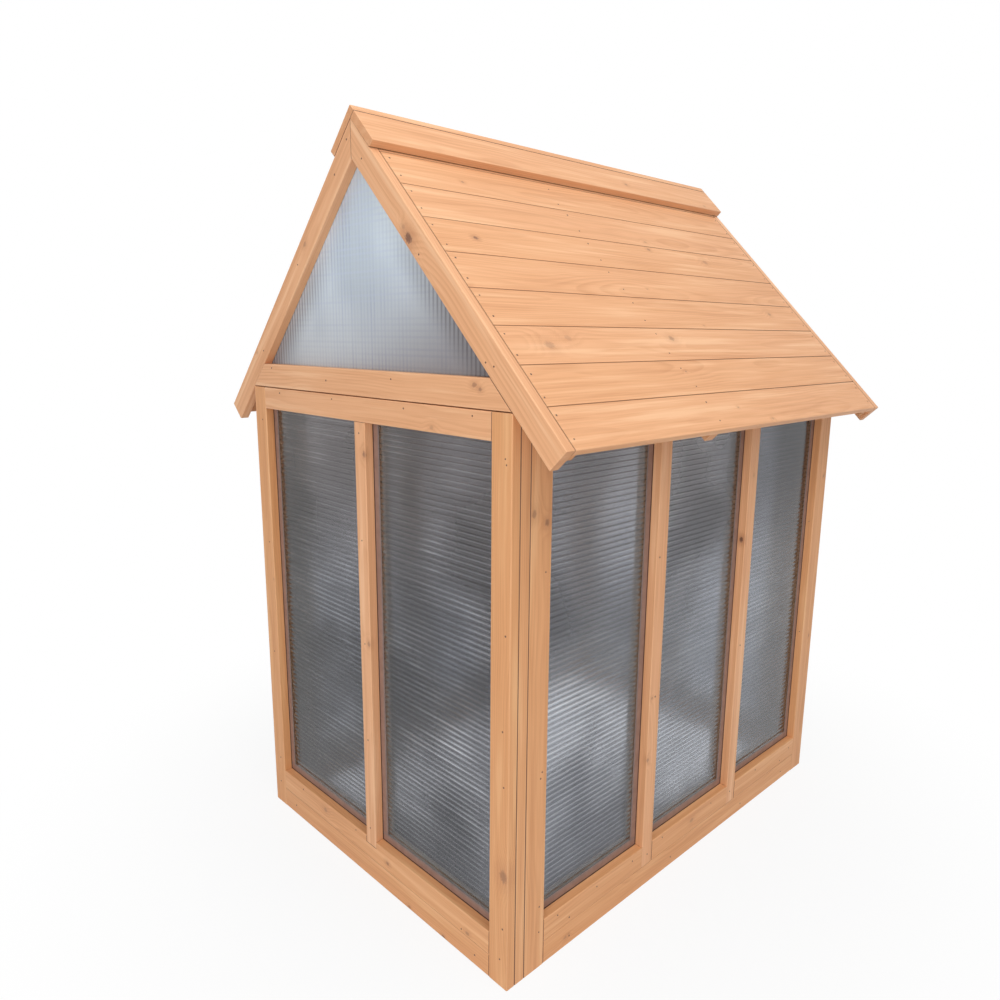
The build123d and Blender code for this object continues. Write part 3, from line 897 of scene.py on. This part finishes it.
def gable_shades(tree, settings, colour, axes, ribs, top):
    """Sheet of a gable: faint level ribs, the barge boards' shade, and darker to the foot and one corner."""
    behind = add_flutes(tree, axes["Z"], axes["X"])
    faint = maths(tree, "MULTIPLY", behind["Rib"], ramp(tree, behind["Streak"], 0.35, 0.65, 0.1, 0.4))
    colour = mixed(tree, faint, colour, opaque(settings.gable_rib))
    under_ridge = maths(tree, "SUBTRACT", top, axes["Z"])
    off_ridge = maths(tree, "MULTIPLY", maths(tree, "ABSOLUTE", axes["X"]), math.tan(PITCH))
    shade = ramp(tree, maths(tree, "SUBTRACT", under_ridge, off_ridge), 0.04, 0.13, 1.0, 0.0)
    shade = maths(tree, "MULTIPLY", shade, maths(tree, "MULTIPLY_ADD", ribs, 0.5, 0.3))
    shade = maths(tree, "MULTIPLY", shade, ramp(tree, under_ridge, 0.1, 0.32))
    colour = mixed(tree, shade, colour, opaque(settings.barge_shade))
    foot = ramp(tree, under_ridge, 0.14, 0.44)
    colour = mixed(tree, foot, colour, opaque(settings.foot_shade), "MULTIPLY")
    corner = ramp(tree, maths(tree, "MULTIPLY_ADD", under_ridge, 1.2, axes["X"]), 0.3, 0.8, 0.0, 0.95)
    return mixed(tree, corner, colour, opaque(settings.corner_shade), "MULTIPLY")


def twin_wall_material(name, node, directions, outer_face, cell, rib, clear, spans, far_side):
    """Extruded polycarbonate: clear cells whose tint carries painted shade in the walls and a painted sky
    reflection in the gables, ribs with a painted highlight, and a lighter strip painted along the frame.
    """
    settings = bpy.context.scene.greenhouse_glazing
    material, tree, shader = new_material(name)
    low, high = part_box(node)
    flutes_across, flutes_along = directions
    place = add(tree, "ShaderNodeTexCoord").outputs["Object"]
    axes = add(tree, "ShaderNodeSeparateXYZ", None, {0: place}).outputs
    across, along = axes[flutes_across], axes[flutes_along]
    through = axes[({"X", "Y", "Z"} - {flutes_across, flutes_along}).pop()]
    middle = (low + high)["XYZ".index(flutes_across)] / 2
    flutes = add_flutes(tree, maths(tree, "SUBTRACT", across, middle), along)
    haze_and_painted_reflection_mottle = noise(tree, place, 3.2, 2.0).outputs[0]
    # Ribs: in the walls a painted highlight along each rib, stronger in places, broken along the rib and
    # weaker towards the foot
    stronger = noise(tree, vector_maths(tree, "ADD", place, (3.0, 5.0, 7.0)), 4.0, 2.0).outputs[0]
    share = maths(tree, "MULTIPLY", flutes["Rib"], ramp(tree, stronger, 0.38, 0.62, 0.25, 1.0))
    share = maths(tree, "MULTIPLY", share, ramp(tree, flutes["Streak"], 0.32, 0.62, 0.2, 1.0))
    if spans:
        share = maths(tree, "MULTIPLY", share, ramp(tree, axes["Z"], 0.12, 0.6, 0.4, 1.0))
    colour = mixed(tree, share, opaque(cell), opaque(rib))
    # Painted blotches of blurred reflection darken the sheet here and there; the same mottle also varies the
    # roughness
    patches = opaque(settings.wall_painted_reflection_patch if spans else settings.gable_painted_reflection_patch)
    colour = mixed(tree, ramp(tree, haze_and_painted_reflection_mottle, 0.40, 0.68), colour, patches, "MULTIPLY")
    if spans:
        colour = wall_shades(tree, settings, colour, axes, flutes_along)
    else:
        colour = gable_shades(tree, settings, colour, axes, flutes["Rib"], high.z)
    off_outside = maths(tree, "SUBTRACT", maths(tree, "ABSOLUTE", through), abs(outer_face))
    inner = ramp(tree, maths(tree, "ABSOLUTE", off_outside), *OUTER_SKIN)
    colour = mixed(tree, inner, colour, opaque(settings.inner_skin))
    # Lighter strip along the foot and the far side of each pane, painted light on the battens behind
    if spans:
        margin = frame_margin(tree, along, axes["Z"], spans, far_side, settings.clear_margin)
        colour = mixed(tree, maths(tree, "MULTIPLY", margin, 0.92), colour, opaque(settings.painted_light_margin))
    haze = ramp(tree, haze_and_painted_reflection_mottle, 0.3, 0.7, settings.haze * 0.6, settings.haze * 1.4)
    haze = maths(tree, "MULTIPLY", haze, ramp(tree, inner, 0.0, 1.0, 0.35, 1.0))
    give_surface(tree, shader, colour, haze, flutes["Swell"], 1.0, settings.swell)
    shader.inputs["IOR"].default_value = 1.45
    shader.inputs["Transmission Weight"].default_value = clear
    return material


def painted_band_material(name, settings):
    """Painted band of lit batten on a sheet, paling from the frame towards the open pane, a little mottled.
    """
    material, tree, shader = new_material(name)
    place = add(tree, "ShaderNodeTexCoord").outputs["Object"]
    mottle = noise(tree, place, 60.0, 3.0).outputs[0]
    inwards = ramp(tree, attribute(tree, "inwards", "Fac"), 0.6, 1.0)
    colour = mixed(tree, inwards, opaque(settings.painted_band), opaque(settings.painted_band_edge))
    colour = mixed(tree, ramp(tree, mottle, 0.3, 0.7), colour, opaque(settings.painted_band_mottle), "MULTIPLY")
    give_surface(tree, shader, colour, ramp(tree, mottle, 0.3, 0.7, 0.35, 0.5), mottle, 0.2, 0.0003)
    return material


def mottled_material(name, colour, dull, rough, metallic):
    """Mottled surface of zinc plate, nail heads and painted shadow lines."""
    material, tree, shader = new_material(name)
    place = add(tree, "ShaderNodeTexCoord").outputs["Object"]
    mottle = noise(tree, place, 420.0, 3.0).outputs[0]
    mottled = mixed(tree, ramp(tree, mottle, 0.3, 0.7), opaque(colour), opaque(dull))
    roughness = ramp(tree, mottle, 0.3, 0.7, rough * 0.8, rough * 1.25)
    give_surface(tree, shader, mottled, roughness, mottle, 0.15, 0.0002)
    shader.inputs["Metallic"].default_value = metallic
    return material


def material_named(name, make, *given):
    """Material made once and shared."""
    return bpy.data.materials.get(name) or make(*given)


def give_material(node, material):
    """Better material on a CAD node whose shape stays."""
    materials = frame["nodes"][node].data.materials
    materials.clear()
    materials.append(material)


def zinc_plate():
    """Zinc-plated steel, made once."""
    settings = bpy.context.scene.greenhouse_fasteners
    dull = tuple(channel * 0.75 for channel in settings.zinc)
    return material_named("zinc_plate", mottled_material, "zinc_plate", settings.zinc, dull, 0.34, 1.0)


# Boards
def islands(bm):
    """Lists of vertices that hang together."""
    left = set(bm.verts)
    while left:
        found = [left.pop()]
        for vert in found:
            for edge in vert.link_edges:
                other = edge.other_vert(vert)
                if other in left:
                    left.remove(other)
                    found.append(other)
        yield found


def board_directions(verts):
    """Unit vectors along a board, across it and out through its outer face, its middle and half its sizes."""
    lean = Vector((1.0, 1.3, 1.7))
    edges = {edge for vert in verts for edge in vert.link_edges}
    faces = {face for vert in verts for face in vert.link_faces}
    longest = max(edges, key=lambda edge: round(edge.calc_length(), 5))
    along = (longest.verts[1].co - longest.verts[0].co).normalized()
    if along.dot(lean) < 0:
        along.negate()
    sides = [face for face in faces if abs(face.normal.dot(along)) < 0.1]
    widest = max(sides, key=lambda face: (round(face.calc_area(), 6), face.normal.dot(lean)))
    out = widest.normal.copy()
    if out.dot(widest.calc_center_median() - HOUSE_MIDDLE) < 0:
        out.negate()
    axes = (along, out.cross(along).normalized(), out)
    spans = [[vert.co.dot(axis) for vert in verts] for axis in axes]
    middle = sum((axis * (min(span) + max(span)) / 2 for axis, span in zip(axes, spans)), Vector())
    return axes, middle, [(max(span) - min(span)) / 2 for span in spans]


def board_knots(node, axes, middle, half, chance):
    """Three knots of a board: the place along, across and through it, the radius and the darkness of each."""
    found = []
    for owner, place, radius, darkness in KNOTS:
        away = Vector(place) / 1000 - middle
        place = [away.dot(axis) for axis in axes]
        inside = all(abs(value) < size + 0.003 for value, size in zip(place, half))
        if owner == node and inside:
            found.append((place, radius / 1000, darkness))
    while not found or (len(found) < 2 and chance.random() < 0.4):
        place = (chance.uniform(-0.9, 0.9) * half[0], chance.uniform(-0.8, 0.8) * half[1], half[2])
        found.append((place, chance.uniform(0.0025, 0.0055), chance.uniform(0.15, 0.5)))
    return (found + [NO_KNOT] * 3)[:3]


def merged_boards(node):
    """Merged copy of a node's mesh, and its boards in a steady order: vertices and directions of each."""
    bm = bmesh.new()
    bm.from_mesh(frame["nodes"][node].data)
    bmesh.ops.remove_doubles(bm, verts=bm.verts[:], dist=MERGE_REACH)
    bmesh.ops.dissolve_limit(bm, angle_limit=FLAT_ANGLE, verts=bm.verts[:], edges=bm.edges[:])
    on_verts, on_faces = bm.verts.layers, bm.faces.layers
    for name in ("grain", "knot_a", "knot_b", "knot_c", "knot_radius", "knot_darkness"):
        on_verts.float_vector.new(name)
    on_verts.float.new("board")
    on_verts.float.new("stain")
    on_verts.int.new("number")
    for name in ("edge", "end_grain", "seam"):
        on_faces.float.new(name)
    found = [(verts, board_directions(verts)) for verts in islands(bm)]
    found.sort(key=lambda pair: tuple(round(value, 4) for value in pair[1][1]))
    return bm, found


@functools.cache
def board_trees():
    """Search tree and grown box of every board, under its node and its number there."""
    trees = {}
    for node in WALL_FRAMES + GABLES + ROOF + DOORWAY + DOOR:
        bm, found = merged_boards(node)
        for number, (verts, _) in enumerate(found):
            index = {vert: i for i, vert in enumerate(verts)}
            faces = {face for vert in verts for face in vert.link_faces}
            polygons = [[index[vert] for vert in face.verts] for face in faces]
            places = [vert.co.copy() for vert in verts]
            low = Vector([min(place[axis] for place in places) - JOINT_REACH for axis in range(3)])
            high = Vector([max(place[axis] for place in places) + JOINT_REACH for axis in range(3)])
            trees[node, number] = (BVHTree.FromPolygons(places, polygons), low, high)
        bm.free()
    return trees


def joint_darkness(face, node, number):
    """How dark the joint is where a narrow face lies along another board of the same body."""
    longest = max(face.edges, key=lambda edge: edge.calc_length())
    run = (longest.verts[1].co - longest.verts[0].co) / 2
    middle = face.calc_center_median()
    touching = []
    for step in JOINT_STEPS:
        point = middle + run * step
        for (owner, other), (tree, low, high) in board_trees().items():
            if (owner, other) == (node, number) or BODY_OF[owner] != BODY_OF[node]:
                continue
            near = all(low[axis] < point[axis] < high[axis] for axis in range(3))
            if near and tree.find_nearest(point, JOINT_REACH)[0] is not None:
                touching.append(owner)
                break
    if len(touching) < JOINT_HITS:
        return 0.0
    glued = all({node.split("_")[-1], owner.split("_")[-1]} == {"sill", "kickboard"} for owner in touching)
    if glued:
        return GLUED_SEAM
    return ROOF_SEAM if node.startswith("roof_boards") else OPEN_SEAM


def stand_out(node, bm):
    """Widen the inner battens, so that they show past the sides and the foot of the panes."""
    show = bpy.context.scene.greenhouse_glazing.batten_show
    moves = {}
    for vert in bm.verts:
        if node == "door_battens":
            axis, spans = 0, PANES["door"]
        elif vert.co.y < FRONT_BATTENS_END:
            axis, spans = 0, PANES["front"]
        else:
            axis, spans = 1, PANES["side"]
        for low, high in spans:
            for edge, way in ((low, 1), (high, -1)):
                if abs(vert.co[axis] - edge) < JOINT_REACH / 4:
                    moves.setdefault((axis, way), []).append(vert)
        if abs(vert.co.z - PANE_FOOT) < JOINT_REACH:
            moves.setdefault((2, 1), []).append(vert)
    for (axis, way), verts in moves.items():
        step = Vector()
        step[axis] = way * show
        bmesh.ops.translate(bm, vec=step, verts=verts)


def stain_range(node):
    """Least and greatest depth of the stain on the boards of a node."""
    if node in BATTENS:
        return 0.0, 0.2
    if node in ROOF:
        return 0.2, 0.4
    if any(kind in node for kind in ("rail", "mullion", "barge")):
        return 0.0, 0.15
    return 0.7, 0.95


def dress_boards(nodes):
    """Rounded fir boards in place of the given nodes, each with its own grain and knots."""
    settings = bpy.context.scene.greenhouse_fir
    for node in nodes:
        if node in BATTENS:
            name, early, late = "raw_fir", settings.raw_wood, settings.raw_late_wood
        else:
            name, early, late = "planed_fir", settings.early_wood, settings.late_wood
        fir = material_named(name, fir_material, name, settings, early, late)
        chance = random.Random(node)
        bm, found = merged_boards(node)
        if node in BATTENS:
            stand_out(node, bm)
        on_verts, on_faces = bm.verts.layers, bm.faces.layers
        number, board, stain = on_verts.int["number"], on_verts.float["board"], on_verts.float["stain"]
        vectors = on_verts.float_vector
        edge, end_grain, seam = (on_faces.float[name] for name in ("edge", "end_grain", "seam"))
        boards = []
        for verts, (axes, middle, half) in found:
            for vert in verts:
                vert[number] = len(boards)
            knots = board_knots(node, axes, middle, half, chance)
            boards.append((axes, middle, knots, chance.random(), chance.uniform(*stain_range(node))))
        sharp = [line for line in bm.edges if line.is_manifold and line.calc_face_angle() > SHARP_ANGLE]
        rounded = bmesh.ops.bevel(
            bm,
            geom=sharp,
            offset=settings.edge_round,
            offset_type="OFFSET",
            segments=2,
            profile=0.5,
            affect="EDGES",
            clamp_overlap=True,
            material=-1,
        )
        # Faces of the rounded edges, which the material pales as wear and as a painted highlight
        for face in rounded["faces"]:
            face[edge] = 1.0
            face.smooth = True
        for vert in bm.verts:
            axes, middle, knots, seed, depth = boards[vert[number]]
            vert[vectors["grain"]] = [(vert.co - middle).dot(axis) for axis in axes]
            vert[board] = seed
            vert[stain] = depth
            vert[vectors["knot_radius"]] = [knot[1] for knot in knots]
            vert[vectors["knot_darkness"]] = [knot[2] for knot in knots]
            for letter, knot in zip("abc", knots):
                vert[vectors[f"knot_{letter}"]] = knot[0]
        for face in bm.faces:
            own = face.verts[0][number]
            face[end_grain] = float(abs(face.normal.dot(boards[own][0][0])) > 0.6)
            if face.calc_area() < NARROW_FACE * max(line.calc_length() for line in face.edges):
                face[seam] = joint_darkness(face, node, own)
        finish_piece(bm, f"fir_{node}", fir, BODY_OF[node], "fir", node)


def finish_piece(bm, name, material, body, slot, *nodes):
    """Object from a bmesh, with its material, riding on its body and standing for the given nodes."""
    mesh = bpy.data.meshes.new(name)
    bm.to_mesh(mesh)
    bm.free()
    mesh.materials.append(material)
    piece = bpy.data.objects.new(name, mesh)
    bpy.context.scene.collection.objects.link(piece)
    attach(piece, body)
    if nodes:
        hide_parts(*nodes)


def facing(place, normal):
    """Matrix that puts local Z along a normal at a place."""
    turn = Vector((0, 0, 1)).rotation_difference(Vector(normal))
    return Matrix.Translation(place) @ turn.to_matrix().to_4x4()


def nail_heads(name, body, places):
    """Low domed nail heads at places on flat faces."""
    settings = bpy.context.scene.greenhouse_fasteners
    dull = tuple(channel * 0.5 for channel in settings.nail_colour)
    given = ("stained_nail", settings.nail_colour, dull, 0.5, 0.0)
    steel = material_named("stained_nail", mottled_material, *given)
    chance = random.Random(name)
    bm = bmesh.new()
    for place, normal in places:
        radius = settings.nail_radius * chance.uniform(0.85, 1.15)
        low = Vector(place) + Vector(normal) * NAIL_LIFT
        bmesh.ops.create_cone(
            bm,
            cap_ends=True,
            segments=10,
            radius1=radius,
            radius2=radius * 0.7,
            depth=NAIL_HEIGHT,
            matrix=facing(low, normal),
        )
    finish_piece(bm, name, steel, body, None)


def screw_heads(name, body, places):
    """Slotted screw heads at places on the ironmongery."""
    settings = bpy.context.scene.greenhouse_fasteners
    chance = random.Random(name)
    bm = bmesh.new()
    for place, normal in places:
        old = set(bm.verts)
        made = bmesh.ops.create_cone(
            bm,
            cap_ends=True,
            segments=16,
            radius1=settings.screw_radius,
            radius2=settings.screw_radius * 0.82,
            depth=SCREW_HEIGHT,
        )
        faces = {face for vert in made["verts"] for face in vert.link_faces}
        top = max(faces, key=lambda face: face.calc_center_median().z)
        bmesh.ops.inset_region(bm, faces=[top], thickness=settings.screw_radius * 0.2)
        bmesh.ops.scale(bm, vec=(1.0, 0.22, 1.0), verts=top.verts[:])
        bmesh.ops.translate(bm, vec=(0, 0, -SCREW_SLOT), verts=top.verts[:])
        turn = Matrix.Rotation(chance.uniform(0, math.pi), 4, "Z")
        new = [vert for vert in bm.verts if vert not in old]
        bmesh.ops.transform(bm, matrix=facing(place, normal) @ turn, verts=new)
    finish_piece(bm, name, zinc_plate(), body, "zinc")


class WallFrames(bpy.types.Operator):
    """Stiles, rails, sills, kickboards, mullions and corner posts of the walls"""

    bl_idname = "greenhouse.wall_frames"
    bl_label = "Wall frames"

    def execute(self, context):
        dress_boards(WALL_FRAMES)
        return {"FINISHED"}


class Gables(bpy.types.Operator):
    """Barge boards, gable rails and the rafters behind the barge boards"""

    bl_idname = "greenhouse.gables"
    bl_label = "Gables"

    def execute(self, context):
        dress_boards(GABLES)
        return {"FINISHED"}


class Roof(bpy.types.Operator):
    """Roof boards, ridge caps and middle rafters"""

    bl_idname = "greenhouse.roof"
    bl_label = "Roof"

    def execute(self, context):
        dress_boards(ROOF)
        return {"FINISHED"}


class Door(bpy.types.Operator):
    """Door frame, door leaf and pull"""

    bl_idname = "greenhouse.door"
    bl_label = "Door"

    def execute(self, context):
        dress_boards(DOORWAY + DOOR)
        return {"FINISHED"}


class Glazing(bpy.types.Operator):
    """Twin-wall sheets of the walls, the door and the gables, with painted shadow lines and painted bands of
    lit batten on the panes
    """

    bl_idname = "greenhouse.glazing"
    bl_label = "Glazing"

    def execute(self, context):
        settings = context.scene.greenhouse_glazing
        front_depth, side_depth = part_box("front_sheet")[0].y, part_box("right_sheet")[1].x
        door_depth, gable_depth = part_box("door_sheet")[1].y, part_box("front_gable_sheet")[0].y
        # Cell tints: in the walls darkened by painted shade of the inside, in the gables paled by a painted
        # reflection of the sky
        front = (front_depth, settings.front_cell_and_painted_shade, settings.wall_rib_and_painted_highlight, settings.wall_clear, PANES["front"], 0)
        side = (side_depth, settings.side_cell_and_painted_shade, settings.wall_rib_and_painted_highlight, settings.wall_clear, PANES["side"], 1)
        door = (door_depth, settings.side_cell_and_painted_shade, settings.wall_rib_and_painted_highlight, settings.wall_clear, PANES["door"], 0)
        gable = (gable_depth, settings.gable_cell_and_painted_sky_reflection, settings.gable_rib, settings.gable_clear, [], 0)
        for name, nodes, *given in (
            ("front_glazing", ["front_sheet"], "ZX", *front),
            ("side_glazing", ["right_sheet", "left_sheet"], "ZY", *side),
            ("door_glazing", ["door_sheet"], "ZX", *door),
            ("gable_glazing", GABLE_SHEETS, "XZ", *gable),
        ):
            material = twin_wall_material(name, nodes[0], *given)
            for node in nodes:
                give_material(node, material)
        self.paint_pane_edges(settings)
        return {"FINISHED"}

    def paint_pane_edges(self, settings):
        """Dark strips of painted shadow in the corner between each frame and the sheet behind it, and painted
        bands of lit batten on the sheets.
        """
        dull = tuple(channel * 0.6 for channel in settings.painted_shadow_line)
        dark = mottled_material("glazing_painted_shadow", settings.painted_shadow_line, dull, 0.55, 0.0)
        foot, head = PANE_FOOT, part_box("front_top_rail")[0].z
        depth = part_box("front_sheet")[0].y
        house = [((left, depth, foot), (right, depth, head), (0, -1, 0)) for left, right in PANES["front"]]
        for side in (1, -1):
            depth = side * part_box("right_sheet")[1].x
            house += [((depth, near, foot), (depth, far, head), (side, 0, 0)) for near, far in PANES["side"]]
        depth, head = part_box("door_sheet")[1].y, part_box("door_top_rail")[0].z
        leaf = [((left, depth, foot), (right, depth, head), (0, 1, 0)) for left, right in PANES["door"]]
        # Painted bands stand in for the lit battens seen through the sheets
        painted_band = painted_band_material("painted_batten_band", settings)
        for kind, body, panes in (("pane", "house", house), ("door_pane", "door", leaf)):
            painted_shadow_lines, painted_bands = bmesh.new(), bmesh.new()
            painted_bands.verts.layers.float.new("inwards")
            for low, high, out in panes:
                low, high, out = Vector(low), Vector(high), Vector(out)
                across, upwards = (high - low) * Vector((1, 1, 0)), Vector((0, 0, high.z - low.z))
                self.paint_shadow_lines(painted_shadow_lines, low, across, upwards, out, settings.painted_shadow_width)
                self.paint_band_pane(painted_bands, low, across, upwards, out, settings.painted_band_width)
            finish_piece(painted_shadow_lines, f"{kind}_seals", dark, body, None)
            finish_piece(painted_bands, f"{kind}_tapes", painted_band, body, None)

    def lay_strip(self, bm, corner, run, cross, out):
        """Box on a sheet from a corner along its run, across it and out: its vertices and its middle."""
        span = run + cross + out
        centre = corner + span / 2
        size = Vector([abs(value) for value in span])
        made = bmesh.ops.create_cube(bm, size=1.0, matrix=Matrix.LocRotScale(centre, None, size))
        return made["verts"], centre

    def paint_shadow_lines(self, bm, low, across, upwards, out, width):
        """Four strips of painted shadow round one upright pane."""
        side, up = across.normalized() * width, Vector((0, 0, width))
        for corner, run, cross in (
            (low, across, up),
            (low + upwards, across, -up),
            (low, upwards, side),
            (low + across, upwards, -side),
        ):
            self.lay_strip(bm, corner, run, cross, out * width * PAINTED_SHADOW_DEPTH)

    def paint_band_pane(self, bm, low, across, upwards, out, width):
        """Flat painted bands of lit batten along the foot and the two sides of one upright pane."""
        inwards = bm.verts.layers.float["inwards"]
        side, up = across.normalized() * width, Vector((0, 0, width))
        for corner, run, cross in (
            (low, across, up),
            (low + up, upwards - up, side),
            (low + across + up, upwards - up, -side),
        ):
            verts, centre = self.lay_strip(bm, corner, run, cross, out * PAINTED_BAND_THICKNESS)
            for vert in verts:
                vert[inwards] = float((vert.co - centre).dot(cross) > 0)


class Ironmongery(bpy.types.Operator):
    """Zinc plate on the hinges and the bolt, and their screws"""

    bl_idname = "greenhouse.ironmongery"
    bl_label = "Ironmongery"

    def execute(self, context):
        for node in IRONMONGERY:
            give_material(node, zinc_plate())
        for name, body, node, inner, outer in (
            ("hinge_screws_jamb", "house", "hinge_plates_jamb", 0.017, 0.026),
            ("hinge_screws_door", "door", "hinge_plates_door", 0.017, 0.008),
        ):
            low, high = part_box(node)
            plate = DOOR_FACE + HINGE_PLATE
            places = []
            for foot in (low.z, high.z - HINGE_HEIGHT):
                for across, up in zip((outer, inner, outer), HINGE_SCREW_HEIGHTS):
                    places.append(((low.x + across, plate, foot + up), (0, 1, 0)))
            screw_heads(name, body, places)
        low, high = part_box("bolt_guides")
        plate = DOOR_FACE + BOLT_PLATE
        in_x, in_z = BOLT_SCREW_INSET
        corners = [(x, z) for x in (low.x + in_x, high.x - in_x) for z in (low.z + in_z, high.z - in_z)]
        screw_heads("bolt_screws", "door", [((x, plate, z), (0, 1, 0)) for x, z in corners])
        low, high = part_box("bolt_keeper")
        ends = [((low.x + high.x) / 2, z) for z in (low.z + in_z, high.z - in_z)]
        screw_heads("keeper_screws", "house", [((x, plate, z), (0, 1, 0)) for x, z in ends])
        return {"FINISHED"}


class Nails(bpy.types.Operator):
    """Nail heads in the frames and the roof"""

    bl_idname = "greenhouse.nails"
    bl_label = "Nails"

    def execute(self, context):
        chance = random.Random("roof nails")
        drift_down, drift_along = ROOF_NAIL_DRIFT
        fixed = []
        for x, z in FRONT_NAILS:
            fixed.append(((x / 1000, FRONT_FACE, z / 1000), (0, -1, 0)))
        for y, z in RIGHT_NAILS:
            fixed.append(((RIGHT_FACE, y / 1000, z / 1000), (1, 0, 0)))
            fixed.append(((-RIGHT_FACE, y / 1000, z / 1000), (-1, 0, 0)))
        for x, z in REAR_NAILS:
            fixed.append(((x / 1000, DOOR_FACE, z / 1000), (0, 1, 0)))
        for x, z in REAR_GABLE_NAILS:
            fixed.append(((x / 1000, REAR_FACE, z / 1000), (0, 1, 0)))
        for side in (1, -1):
            normal = (side * math.sin(PITCH), 0, math.cos(PITCH))
            for board in range(1, ROOF_BOARD_COUNT):
                for row in ROOF_NAIL_ROWS:
                    for step in ROOF_NAIL_STEPS:
                        down = board * ROOF_BOARD_COVER + step + chance.uniform(-drift_down, drift_down)
                        y = row + chance.uniform(-drift_along, drift_along)
                        place = (side * down * math.cos(PITCH), y, RIDGE_HEIGHT - down * math.sin(PITCH))
                        fixed.append((place, normal))
        nail_heads("nails_house", "house", fixed)
        leaf = [((x / 1000, DOOR_FACE, z / 1000), (0, 1, 0)) for x, z in DOOR_NAILS]
        nail_heads("nails_door", "door", leaf)
        return {"FINISHED"}


class Studio(bpy.types.Operator):
    """Pale floor, soft lamps, white surroundings and the camera"""

    bl_idname = "greenhouse.studio"
    bl_label = "Studio"

    def execute(self, context):
        settings = context.scene.greenhouse_studio
        self.lay_floor(settings)
        self.light_room(settings)
        self.set_camera(settings)
        context.scene.view_settings.view_transform = "Standard"
        return {"FINISHED"}

    def seen_directly(self, tree):
        """1 on rays that carry a picture of the surroundings, 0 on rays that carry light."""
        path = add(tree, "ShaderNodeLightPath").outputs
        mirrored = maths(tree, "MAXIMUM", path["Is Glossy Ray"], path["Is Transmission Ray"])
        return maths(tree, "MAXIMUM", path["Is Camera Ray"], mirrored)

    def lay_floor(self, settings):
        """Round floor that keeps the shadow near the house and fades to white further out."""
        bm = bmesh.new()
        bmesh.ops.create_circle(bm, cap_ends=True, segments=96, radius=FLOOR_RADIUS)
        material, tree, shader = new_material("floor")
        shader.inputs["Base Color"].default_value = opaque(settings.floor)
        shader.inputs["Roughness"].default_value = 0.9
        place = add(tree, "ShaderNodeTexCoord").outputs["Object"]
        away = add(tree, "ShaderNodeVectorMath", {"operation": "LENGTH"}, {0: place}).outputs["Value"]
        share = maths(tree, "MULTIPLY", ramp(tree, away, 0.45, 1.5, 0.86, 1.0), self.seen_directly(tree))
        white = add(tree, "ShaderNodeEmission", None, {"Color": (1, 1, 1, 1), "Strength": 1.0}).outputs[0]
        both = add(tree, "ShaderNodeMixShader", None, {0: share, 1: shader.outputs[0], 2: white}).outputs[0]
        tree.links.new(both, tree.nodes["Material Output"].inputs["Surface"])
        mesh = bpy.data.meshes.new("floor")
        bm.to_mesh(mesh)
        bm.free()
        mesh.materials.append(material)
        floor = bpy.data.objects.new("floor", mesh)
        bpy.context.scene.collection.objects.link(floor)

    def light_room(self, settings):
        """White surroundings at a lower level for light than for view, and two large lamps."""
        world = bpy.data.worlds.new("surroundings")
        bpy.context.scene.world = world
        world.use_nodes = True
        tree = world.node_tree
        background = tree.nodes["Background"]
        background.inputs["Color"].default_value = (1, 1, 1, 1)
        sky = settings.sky_level
        level = maths(tree, "MULTIPLY_ADD", self.seen_directly(tree), 1.0 - sky, sky)
        tree.links.new(level, background.inputs["Strength"])
        for name, place, size, power in (
            ("key", Vector(settings.key_place), settings.key_size, settings.key_power),
            ("fill", Vector(settings.fill_place), settings.fill_size, settings.fill_power),
        ):
            lamp = bpy.data.lights.new(name, "AREA")
            lamp.energy = power
            lamp.size = size
            holder = bpy.data.objects.new(name, lamp)
            holder.location = place
            holder.rotation_euler = (LAMP_AIM - place).to_track_quat("-Z", "Y").to_euler()
            bpy.context.scene.collection.objects.link(holder)

    def set_camera(self, settings):
        """Camera at the photograph's viewing angle."""
        data = bpy.data.cameras.new("camera")
        data.lens = settings.lens
        data.sensor_width = 36.0
        data.clip_start = 0.01
        camera = bpy.data.objects.new("camera", data)
        place = Vector(settings.camera_place)
        turn = (Vector(settings.camera_aim) - place).to_track_quat("-Z", "Y")
        turn = turn @ Quaternion((0, 0, 1), settings.camera_roll)
        camera.location = place
        camera.rotation_euler = turn.to_euler()
        bpy.context.scene.collection.objects.link(camera)
        bpy.context.scene.camera = camera


STEPS = (WallFrames, Gables, Roof, Door, Glazing, Ironmongery, Nails, Studio)


class GreenhousePanel(bpy.types.Panel):
    """Steps that dress the greenhouse"""

    bl_idname = "VIEW3D_PT_greenhouse"
    bl_label = "Greenhouse"
    bl_space_type = "VIEW_3D"
    bl_region_type = "UI"
    bl_category = "Greenhouse"

    def draw(self, context):
        for step in STEPS:
            self.layout.operator(step.bl_idname)


SETTINGS = {
    "greenhouse_fir": FirSettings,
    "greenhouse_glazing": GlazingSettings,
    "greenhouse_fasteners": FastenerSettings,
    "greenhouse_studio": StudioSettings,
}


def register():
    for group in SETTINGS.values():
        bpy.utils.register_class(group)
    for name, group in SETTINGS.items():
        setattr(bpy.types.Scene, name, PointerProperty(type=group))
    for step in STEPS:
        bpy.utils.register_class(step)
    bpy.utils.register_class(GreenhousePanel)


def unregister():
    bpy.utils.unregister_class(GreenhousePanel)
    for step in reversed(STEPS):
        bpy.utils.unregister_class(step)
    for name, group in SETTINGS.items():
        delattr(bpy.types.Scene, name)
        bpy.utils.unregister_class(group)


def main():
    register()
    bpy.ops.greenhouse.wall_frames()
    bpy.ops.greenhouse.gables()
    bpy.ops.greenhouse.roof()
    bpy.ops.greenhouse.door()
    bpy.ops.greenhouse.glazing()
    bpy.ops.greenhouse.ironmongery()
    bpy.ops.greenhouse.nails()
    bpy.ops.greenhouse.studio()


if __name__ == "__main__":
    main()
